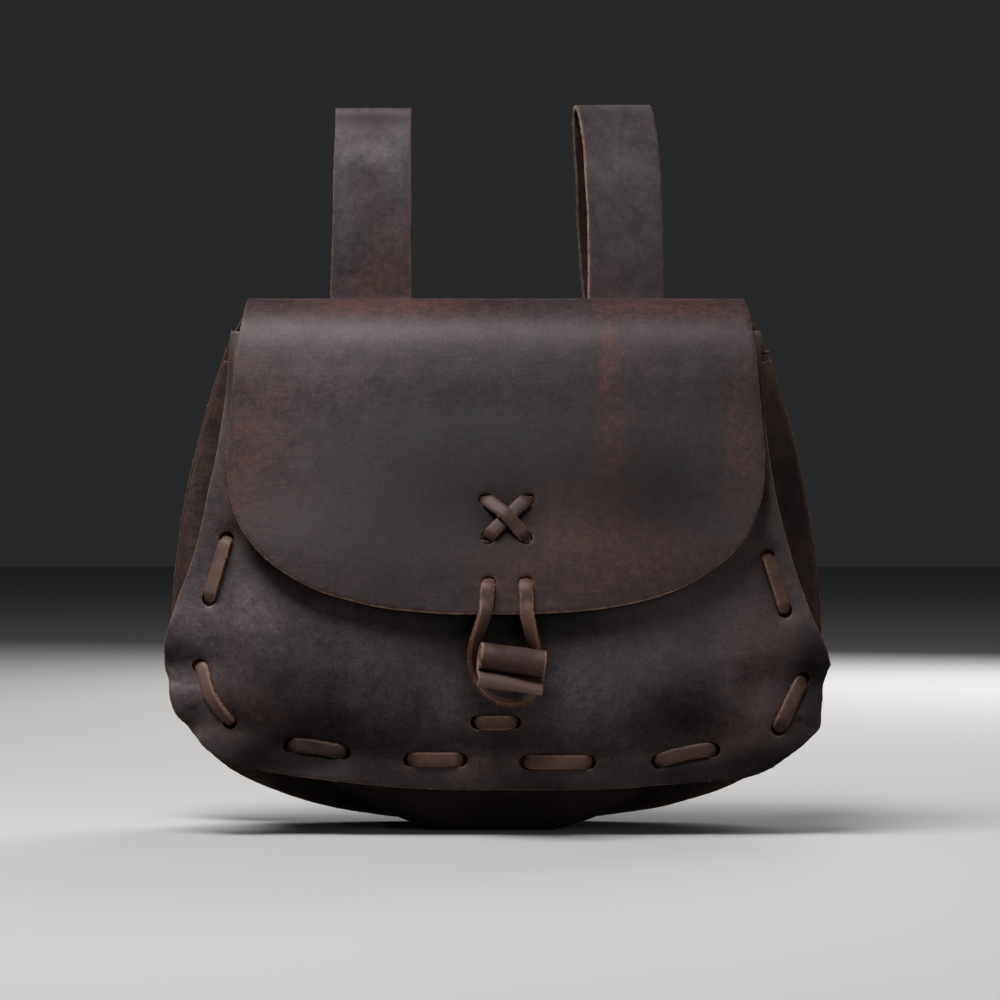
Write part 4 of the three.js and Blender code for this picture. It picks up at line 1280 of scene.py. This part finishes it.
def thong(build, path, lace, seed):
    """Adds a thong of leather along a path, with softly rounded edges cut a little unevenly."""
    along, at, wide, out, share, droop = thong_frame(path)
    across, level, cut, grain = thong_section(lace["width"], lace["thickness"])
    right, left = (wobble(along[:, None], RAGGED["size"], seed + k) for k in (0, 1))
    uneven = 1 + RAGGED["share"] * np.where(across > 0, right[:, None], left[:, None])
    reach = across * uneven * share
    heights = level - CUP * droop * lace["width"] * (2 * across / lace["width"]) ** 2
    rings = at[:, None] + wide[:, None] * reach[..., None] + out[:, None] * heights[..., None]
    count = len(across)
    ring = np.arange(len(at) - 1)[:, None] * count
    k = np.arange(count)
    n = (k + 1) % count
    quads = np.stack([ring + k, ring + n, ring + n + count, ring + k + count], axis=-1).reshape(-1, 4)
    end = (len(at) - 1) * count
    build.add(
        rings.reshape(-1, 3),
        quads.tolist() + [k[::-1].tolist(), (end + k).tolist()],
        side=np.tile(grain, len(at)),
        rim=np.tile(cut, len(at)),
        edge=np.tile(lace["width"] / 2 - np.abs(across), len(at)),
        **wear_and_light(rings.reshape(-1, 3)),
    )
    outer = np.flatnonzero(cut == 1)
    sides = wide[:, None] * np.sign(across[outer])[:, None]
    fibres(build, rings[:, outer].reshape(-1, 3), sides.reshape(-1, 3), FIBRE_SHARE["thong"], seed)


def thong_piece(node, path, lace, seed):
    """A piece that is one thong along a path."""
    build = Build()
    thong(build, path, lace, seed)
    build.piece(node, THONG)


def path_rows(places, wide, width=1.0):
    """A thong's path through places, with the directions of its width and the width's share."""
    path = np.zeros((len(places), 8))
    path[:, :3] = places
    path[:, 3:6] = wide
    path[:, 6] = width
    return path


def thong_section(width, thickness):
    """A thong's rounded section: places across, heights, and shares of cut edge and of grain side."""
    half, high = width / 2, thickness / 2
    lip = 0.3 * THONG_EDGE
    inner = np.linspace(1, -1, LACE_COLUMNS) * (half - THONG_EDGE)
    top = [(x, high + THONG_DOME * (1 - (x / half) ** 2), 0.0, 1.0) for x in inner]
    left = [
        (-half + lip, high - lip, 0.5, 1.0),
        (-half, 0.3 * high, 1.0, 0.6),
        (-half, -0.3 * high, 1.0, 0.4),
        (-half + lip, -high + lip, 0.8, 0.0),
    ]
    bottom = [(x, -high, 0.0, 0.0) for x in inner[::-2]]
    right = [(-x, level, cut, grain) for x, level, cut, grain in reversed(left)]
    return np.array(top + left + bottom + right).T


def fibres(build, places, outs, share, seed):
    """Adds short loose fibres that stand out of a share of the places on a cut edge."""
    random = np.random.default_rng(seed)
    chosen = np.flatnonzero(random.random(len(places)) < share)
    count = len(chosen)
    way = unit(outs[chosen] + random.normal(scale=FIBRE["spread"], size=(count, 3)))
    length = FIBRE["length"] * random.uniform(FIBRE["shortest"], 1.0, (count, 1)) ** 2
    first = unit(np.cross(way, random.normal(size=(count, 3))))
    second = np.cross(way, first)
    root = places[chosen] - way * FIBRE["root"]
    corners = []
    for turn in np.radians([0, 120, 240]):
        corners.append(root + FIBRE["radius"] * (first * np.cos(turn) + second * np.sin(turn)))
    points = np.stack([*corners, root + way * (length + FIBRE["root"])], axis=1).reshape(-1, 3)
    start = np.arange(count)[:, None] * 4
    sides = [(0, 1, 3), (1, 2, 3), (2, 0, 3), (2, 1, 0)]
    faces = np.concatenate([start + np.array(corner) for corner in sides])
    build.add(points, faces.tolist(), side=0.5, rim=1.0)


# Heights of a thong's middle over and under one or two layers of leather.
over_leather = LEATHER / 2 + LACE["air"] + LACE["thickness"] / 2
under_seam = LEATHER + GAP + over_leather


def front_lace():
    """The running thong through the front margin."""
    left = seam(front_edge, np.array(-LACE_END["along"]), LACE_END["left_inset"])
    right = seam(front_edge, np.array(LACE_END["along"]), LACE_END["right_inset"])
    stops = np.concatenate([left[None], front_holes(), right[None]])
    rolls = [row["roll"] for row in FRONT_STITCHES]
    bows = [row["bow"] for row in FRONT_STITCHES]
    path = lace_path(front_surface, stops, over_leather, under_seam, False, rolls, bows=bows)
    thong_piece("front_lace", join_paths(path, lace_stub()), LACE, LACE_SEED["front"])


def lace_stub():
    """The front thong's right end, which shows beside the panel's top corner."""
    along, inset, under, width = (np.array([row[name] for row in LACE_STUB]) for name in LACE_STUB[0])
    places = front_surface(seam(front_edge, along, inset), -under)
    return path_rows(places, STUB_ACROSS, width)


def back_lace():
    """The running thong through the back margin."""
    inset = BACK_STITCHES["inset"]
    ends = [seam(back_edge, np.array(side * BACK_LACE_END), inset)[None] for side in (-1, 1)]
    stops = np.concatenate([ends[0], back_holes(), ends[1]])
    path = lace_path(back_surface, stops, over_leather, under_seam, False)
    thong_piece("back_lace", path, LACE, LACE_SEED["back"])


def hanging_path():
    """The hanging loop, whose face turns from looking forward to looking into the loop."""
    places = np.array([[row["x"], row["y"], row["z"]] for row in HANGING_LOOP])
    turn = np.radians([row["turn"] for row in HANGING_LOOP])[:, None]
    along = unit(np.gradient(places, axis=0))
    front = unit(np.array([0, -1, 0]) + along * along[:, 1:2])
    face = front * np.cos(turn) + np.cross(along, front) * np.sin(turn)
    return path_rows(places, unit(np.cross(face, along)))


def closure_loop():
    """The thong crossed on the flap, whose middle hangs down as the closing loop."""
    hole = flap_holes()
    up = np.array([0, CLOSURE["tail"]])
    down_left, down_right = ([side * CLOSURE["spread"], -CLOSURE["below"]] for side in (-1, 1))
    first = [hole["top_left"] + up, hole["top_left"], hole["mid_right"]]
    first += [hole["low_right"], hole["low_right"] + down_right]
    second = [hole["low_left"] + down_left, hole["low_left"], hole["mid_left"]]
    second += [hole["top_right"], hole["top_right"] + up]
    heights = over_leather, over_leather
    start = lace_path(flap_surface, np.array(first), *heights, False, lifts=[CLOSURE["crossing"], LIFT])
    end = lace_path(flap_surface, np.array(second), *heights, True)
    path = join_paths(start, hanging_path(), end)
    thong_piece("closure_loop", path, LOOP_THONG, LACE_SEED["closure"])


def toggle():
    """The strip rolled up about its own axis, then tilted and set in place."""
    turns = np.linspace(0, TOGGLE_ROLL[-1]["turn"], ROLL_STEPS)
    radius = smooth(TOGGLE_ROLL, "turn", "radius", turns)
    angle = 2 * np.pi * turns
    spiral = np.stack([-radius * np.cos(angle), radius * np.sin(angle)], axis=-1)
    tail = through(np.array([spiral[-1], *TOGGLE_TAIL]))
    roll = Line(np.concatenate([spiral, tail[1:]]))
    tilt, yaw = np.radians([TOGGLE_LIE["tilt"], TOGGLE_LIE["yaw"]])
    slots = np.interp(TOGGLE_SLOT["turns"], turns, roll.stops[: len(turns)])
    tail_start = roll.stops[len(turns) - 1]
    half = TOGGLE["length"] / 2

    def surface(spots):
        at = roll.at(spots[:, 1])
        tail_share = np.clip((spots[:, 1] - tail_start) / (roll.length - tail_start), 0, 1)
        at[:, 1] -= TOGGLE_LIE["droop"] * np.sin(np.pi * tail_share) * ease(spots[:, 0], -half / 2, half)
        x = spots[:, 0] * np.cos(tilt) + at[:, 1] * np.sin(tilt)
        z = at[:, 1] * np.cos(tilt) - spots[:, 0] * np.sin(tilt)
        turned = [x * np.cos(yaw) - at[:, 0] * np.sin(yaw), x * np.sin(yaw) + at[:, 0] * np.cos(yaw), z]
        return np.stack(turned, axis=-1) + [TOGGLE["x"], TOGGLE["y"], TOGGLE["z"]]

    def distance(spots):
        gaps = []
        for slot in slots:
            over = np.abs(spots - [TOGGLE_THONG["x"] - TOGGLE["x"], slot])
            over -= [TOGGLE_SLOT["half_width"], TOGGLE_SLOT["half_height"]]
            gaps.append(-over.max(axis=1))
        return np.max(gaps, axis=0)

    grid = clipped_grid((-half, 0), (half, roll.length), CELL["toggle"], distance)
    made = thong_material("toggle_leather", TOGGLE_TONE, SHIFT["toggle"])
    leather_piece("toggle", "toggle", made, grid, surface, SEED["toggle"], TOGGLE["thickness"])


def toggle_thong():
    """The thong from the toggle's core straight back through the front panel, then down inside it."""
    x, z = TOGGLE_THONG["x"], TOGGLE["z"]
    spot = np.array([[x, z]])
    wall = [front_surface(spot, np.array([side * LEATHER / 2]))[0] for side in (1, -1)]
    places = [np.array([x, TOGGLE["y"] + TOGGLE_THONG["start"], z])]
    places += [np.array([point[0], point[1], z]) for point in wall]
    heights = np.linspace(TOGGLE_THONG["top"], TOGGLE_THONG["bottom"], TOGGLE_THONG["rows"])
    spots = np.stack([np.full(len(heights), x), heights], axis=-1)
    inside = front_surface(spots, np.full(len(heights), -over_leather - TOGGLE_THONG["air"]))
    places = np.concatenate([places, inside])
    thong_piece("toggle_thong", path_rows(places, (1, 0, 0)), LOOP_THONG, LACE_SEED["toggle"])


def centre_stitch():
    """The stitch below the toggle, whose two ends lie over the thong's tab inside."""
    left, right = centre_holes()
    tail = np.array([CENTRE_STITCH["tail"], 0])
    stops = np.array([left + tail, left, right, right - tail])
    rolls = [CENTRE_STITCH["roll"]]
    path = lace_path(front_surface, stops, over_leather, CENTRE_STITCH["under"], False, rolls)
    # The stitch shows its grain side, so its ends are turned over inside.
    path[:, 3:6] *= -1
    thong_piece("centre_stitch", path, LACE, LACE_SEED["centre"])


def loop_lace(name):
    """The thong that fixes a belt loop's two ends to the back panel, crossed on the outside."""
    holes = loop_holes(LOOPS[name])
    over = LOOP_LACE["over"]
    first = lace_path(back_surface, holes[:3], over, over_leather, True)
    tail = np.array([0, -LOOP_LACE["tail"]])
    stops = np.array([holes[2], holes[3], holes[3] + tail])
    second = lace_path(back_surface, stops, over, over_leather, True, lifts=[LOOP_LACE["crossing"]])
    thong_piece("loop_lace_" + name, join_paths(first, second), LACE, LACE_SEED["loop"])


def wear_and_light(points):
    """How far each kind of patch reaches points: worn, rubbed and bloomed leather, painted light, and painted
    shade.
    """
    patch_values = {}
    for kind, rows in WEAR_AND_LIGHT.items():
        total = np.zeros(len(points))
        for row in rows:
            off_x = (points[:, 0] - row["x"]) / row["wide"]
            off_z = (points[:, 2] - row["z"]) / row["high"]
            reached = points[:, 1] > row.get("behind", -np.inf)
            total += row["much"] * np.exp(-(off_x**2) - off_z**2) * reached
        patch_values[kind] = np.clip(total, 0, 1)
    return patch_values


class Shader:
    """A material built up from nodes, whose inputs are numbers, colours or other nodes' outputs."""

    def __init__(self, name):
        self.material = bpy.data.materials.new(name)
        self.material.use_nodes = True
        self.tree = self.material.node_tree
        self.tree.nodes.clear()
        self.place = self.add("TexCoord", output="Object")

    def add(self, kind, inputs=None, output=0, **settings):
        """Adds a node and gives one of its outputs."""
        node = self.tree.nodes.new("ShaderNode" + kind)
        for name, value in settings.items():
            setattr(node, name, value)
        for key, value in (inputs or {}).items():
            if isinstance(value, bpy.types.NodeSocket):
                self.tree.links.new(value, node.inputs[key])
            else:
                node.inputs[key].default_value = value
        return node.outputs[output]

    def value(self, name):
        """One of the mesh's point values."""
        return self.add("Attribute", output="Fac", attribute_name=name)

    def spot(self, size, stretch=(1, 1, 1), shift=0.0):
        """Texture space in which one unit is a size, stretched along the axes."""
        scale = tuple(1 / (size * s) for s in stretch)
        return self.add("Mapping", {"Vector": self.place, "Location": (shift, shift, shift), "Scale": scale})

    def noise(self, size, detail=3.0, stretch=(1, 1, 1), shift=0.0, rough=0.5):
        """Cloudy noise from 0 to 1 whose swells are about as long as size."""
        spot = self.spot(size, stretch, shift)
        return self.add("TexNoise", {"Vector": spot, "Scale": 1.0, "Detail": detail, "Roughness": rough})

    def cells(self, size, shift=0.0):
        """The distance within cells about as wide as size."""
        return self.add("TexVoronoi", {"Vector": self.spot(size, shift=shift), "Scale": 1.0})

    def step(self, value, low, high):
        """A soft step from 0 at low to 1 at high."""
        inputs = {"Value": value, "From Min": low, "From Max": high}
        return self.add("MapRange", inputs, interpolation_type="SMOOTHSTEP")

    def math(self, operation, a, b=0.0):
        """Two values worked out together."""
        return self.add("Math", {0: a, 1: b}, operation=operation)

    def times(self, *values):
        """Values multiplied together."""
        return reduce(partial(self.math, "MULTIPLY"), values)

    def plus(self, *values):
        """Values added together."""
        return reduce(partial(self.math, "ADD"), values)

    def mix(self, share, below, above):
        """A colour between two others."""
        return self.add("Mix", {0: share, 6: below, 7: above}, output=2, data_type="RGBA")

    def shade(self, colour, share):
        """A colour made darker or lighter."""
        settings = dict(data_type="RGBA", blend_type="MULTIPLY")
        return self.add("Mix", {0: 1.0, 6: colour, 7: share}, output=2, **settings)

    def finish(self, colour, roughness, height, depth, specular):
        """Ends the material with its surface, whose bumps are as high as depth."""
        normal = self.add("Bump", {"Height": height, "Distance": depth, "Strength": 1.0}, output="Normal")
        inputs = {"Base Color": colour, "Roughness": roughness, "Normal": normal}
        inputs.update({"Specular IOR Level": specular, "Specular Tint": SHEEN_TINT})
        end = self.tree.nodes.new("ShaderNodeOutputMaterial")
        self.tree.links.new(self.add("BsdfPrincipled", inputs), end.inputs["Surface"])
        return self.material


def leather_material(name, tone, shift):
    """Waxed leather: mottled grain side, fibrous flesh side and lighter cut edges."""
    s = Shader(name)
    side, rim, edge, rub, bloom, pale, soil = (s.value(value) for value in VALUES)
    cloud = s.noise(GRAIN["cloud"], 2, shift=shift)
    mottle = s.noise(GRAIN["mottle"], 4, shift=shift + 3, rough=0.65)
    marble = s.noise(GRAIN["marble"], 4, shift=shift + 7, rough=0.75)
    dust = s.noise(GRAIN["dust"], 2, shift=shift + 11, rough=0.7)
    scratch = s.noise(SCRATCH["upright"], 1, stretch=(1, 1, 22), shift=shift + 5)
    crosswise = s.noise(SCRATCH["crosswise"], 1, stretch=(14, 1, 1), shift=shift + 8)
    grain = s.cells(GRAIN["cells"], shift=shift)

    base = s.plus(s.times(cloud, 0.6), s.times(mottle, 0.4))
    colour = s.mix(s.step(base, 0.36, 0.64), tone["dark"], tone["brown"])
    patchy = s.plus(0.45, s.times(s.step(mottle, 0.35, 0.65), 0.55))
    colour = s.mix(s.times(bloom, patchy), colour, tone["haze"])
    # Lighter in the pale patches: worn leather, with painted light on the fold's crest, the belt loops and
    # round some stitches.
    colour = s.mix(s.times(pale, patchy), colour, tone["wear_and_light"])
    streaks = s.step(s.plus(s.times(marble, 0.5), s.times(mottle, 0.5)), 0.32, 0.66)
    reddened = s.plus(s.times(rub, 0.25), s.times(s.plus(0.14, s.times(rub, 0.6)), streaks))
    colour = s.mix(reddened, colour, tone["red"])
    speckle = s.times(s.step(dust, 0.3, 0.7), tone["speckle"])
    tiny = s.plus(s.times(s.step(marble, 0.3, 0.7), 0.4), s.times(crosswise, 0.25), speckle)
    colour = s.shade(colour, s.plus(0.68 - tone["speckle"] / 2, tiny))
    colour = s.mix(s.times(s.step(dust, 0.62, 0.82), 0.12), colour, tone["pale"])
    scratched = s.times(s.step(scratch, 0.66, 0.78), s.step(mottle, 0.45, 0.7))
    colour = s.mix(s.times(scratched, 0.2), colour, tone["pale"])
    fray = s.times(s.step(edge, *FRAYED_EDGE), s.step(marble, 0.3, 0.62))
    colour = s.mix(s.times(fray, 0.4), colour, tone["red"])
    flesh = s.mix(s.times(s.step(mottle, 0.5, 0.75), 0.5), tone["flesh"], tone["red"])
    colour = s.mix(side, flesh, colour)
    cut = s.mix(s.step(marble, 0.35, 0.65), tone["cut"], tone["pale_cut"])
    colour = s.mix(s.times(rim, 0.95), colour, cut)
    # Darker where the darkening patches are: painted shade at most of them, one dark spot of the leather.
    colour = s.shade(colour, s.math("SUBTRACT", 1.0, s.times(soil, 0.85)))

    rough = s.plus(0.33, s.times(cloud, 0.12), s.times(marble, 0.14), s.times(soil, 0.5))
    rough = s.plus(rough, s.times(s.math("SUBTRACT", 1.0, side), 0.3))
    rough = s.math("MINIMUM", s.plus(rough, s.times(rim, 0.3)), 1.0)
    height = s.plus(s.times(grain, 0.3), s.times(dust, 0.4), s.times(marble, 0.8), s.times(crosswise, 0.3))
    height = s.plus(height, s.times(s.step(scratch, 0.66, 0.78), -0.2))
    return s.finish(colour, rough, height, tone["bump"], tone["specular"])


def thong_material(name, tone, shift):
    """Thong leather: lighter brown, worn pale on its edges and along its back."""
    s = Shader(name)
    side, rim, edge, pale, soil = (s.value(value) for value in ("side", "rim", "edge", "pale", "soil"))
    mottle = s.noise(THONG_GRAIN["mottle"], 2, shift=shift)
    marble = s.noise(THONG_GRAIN["marble"], 3, shift=shift + 4, rough=0.7)
    dust = s.noise(THONG_GRAIN["dust"], 2, shift=shift + 9, rough=0.7)
    grain = s.cells(THONG_GRAIN["cells"], shift=shift)

    colour = s.mix(s.step(mottle, 0.35, 0.65), tone["dark"], tone["brown"])
    colour = s.mix(s.times(s.step(marble, 0.5, 0.75), 0.5), colour, tone["red"])
    colour = s.mix(s.times(s.step(dust, 0.58, 0.8), 0.3), colour, tone["pale"])
    # Lighter in the pale patches: worn, with painted light on some stitches and the toggle's tail.
    colour = s.mix(s.times(pale, 0.6), colour, tone["wear_and_light"])
    worn_edge = s.times(s.step(edge, *WORN_EDGE), s.step(marble, 0.3, 0.55), 0.75)
    colour = s.mix(worn_edge, colour, tone["pale"])
    colour = s.mix(side, tone["flesh"], colour)
    cut = s.mix(s.step(dust, 0.52, 0.70), tone["cut"], tone["pale_cut"])
    colour = s.mix(rim, colour, cut)
    # Darker where the darkening patches reach the thongs: painted shade.
    colour = s.shade(colour, s.math("SUBTRACT", 1.0, s.times(soil, 0.6)))

    rough = s.plus(0.45, s.times(mottle, 0.15), s.times(marble, 0.1), s.times(rim, 0.25))
    height = s.plus(s.times(grain, 0.4), s.times(dust, 0.5), s.times(marble, 0.6))
    return s.finish(colour, rough, height, tone["bump"], tone["specular"])


def camera():
    """The camera, level and square to the bag."""
    data = bpy.data.cameras.new("camera")
    data.lens = CAMERA["lens"]
    data.sensor_width = CAMERA["sensor"]
    made = bpy.data.objects.new("camera", data)
    made.location = (CAMERA["x"], CAMERA["y"], CAMERA["z"])
    made.rotation_euler = (np.pi / 2, 0, 0)
    bpy.context.scene.collection.objects.link(made)
    bpy.context.scene.camera = made


def softbox(row):
    """A soft rectangular light that looks at a target."""
    data = bpy.data.lights.new(row["name"], "AREA")
    data.shape = "RECTANGLE"
    data.size, data.size_y = row["size"]
    data.energy = row["watts"]
    made = bpy.data.objects.new(row["name"], data)
    made.location = row["place"]
    look = Vector(row["target"]) - Vector(row["place"])
    made.rotation_euler = look.to_track_quat("-Z", "Y").to_euler()
    made.visible_glossy = row["shines"]
    bpy.context.scene.collection.objects.link(made)


def floor_material():
    """The floor's plain pale finish."""
    made = bpy.data.materials.new("pale_floor")
    made.use_nodes = True
    shader = made.node_tree.nodes["Principled BSDF"]
    shader.inputs["Base Color"].default_value = FLOOR["colour"]
    shader.inputs["Roughness"].default_value = FLOOR["roughness"]
    return made


def studio_floor():
    """A plain floor, which the leather's gloss doesn't show."""
    mesh = bpy.data.meshes.new("floor")
    corners = [(x * FLOOR["half"], y * FLOOR["half"], 0) for x, y in ((-1, -1), (1, -1), (1, 1), (-1, 1))]
    mesh.from_pydata(corners, [], [(0, 1, 2, 3)])
    mesh.materials.append(floor_material())
    floor = bpy.data.objects.new("floor", mesh)
    floor.location.z = FLOOR["z"]
    floor.visible_glossy = False
    bpy.context.scene.collection.objects.link(floor)


def studio_sky():
    """A faint even light from all round."""
    world = bpy.data.worlds.new("studio")
    world.use_nodes = True
    sky = world.node_tree.nodes["Background"]
    sky.inputs["Color"].default_value = SKY["colour"]
    sky.inputs["Strength"].default_value = SKY["strength"]
    bpy.context.scene.world = world


THONG = thong_material("thong_leather", THONG_TONE, SHIFT["thong"])
camera()
studio_floor()
studio_sky()
for light in LIGHTS:
    softbox(light)
back_and_flap()
front_panel()
gusset()
for side in LOOPS:
    belt_loop(side)
front_lace()
back_lace()
closure_loop()
toggle()
toggle_thong()
centre_stitch()
for side in LOOPS:
    loop_lace(side)

view = bpy.context.scene.view_settings
view.view_transform = "Standard"
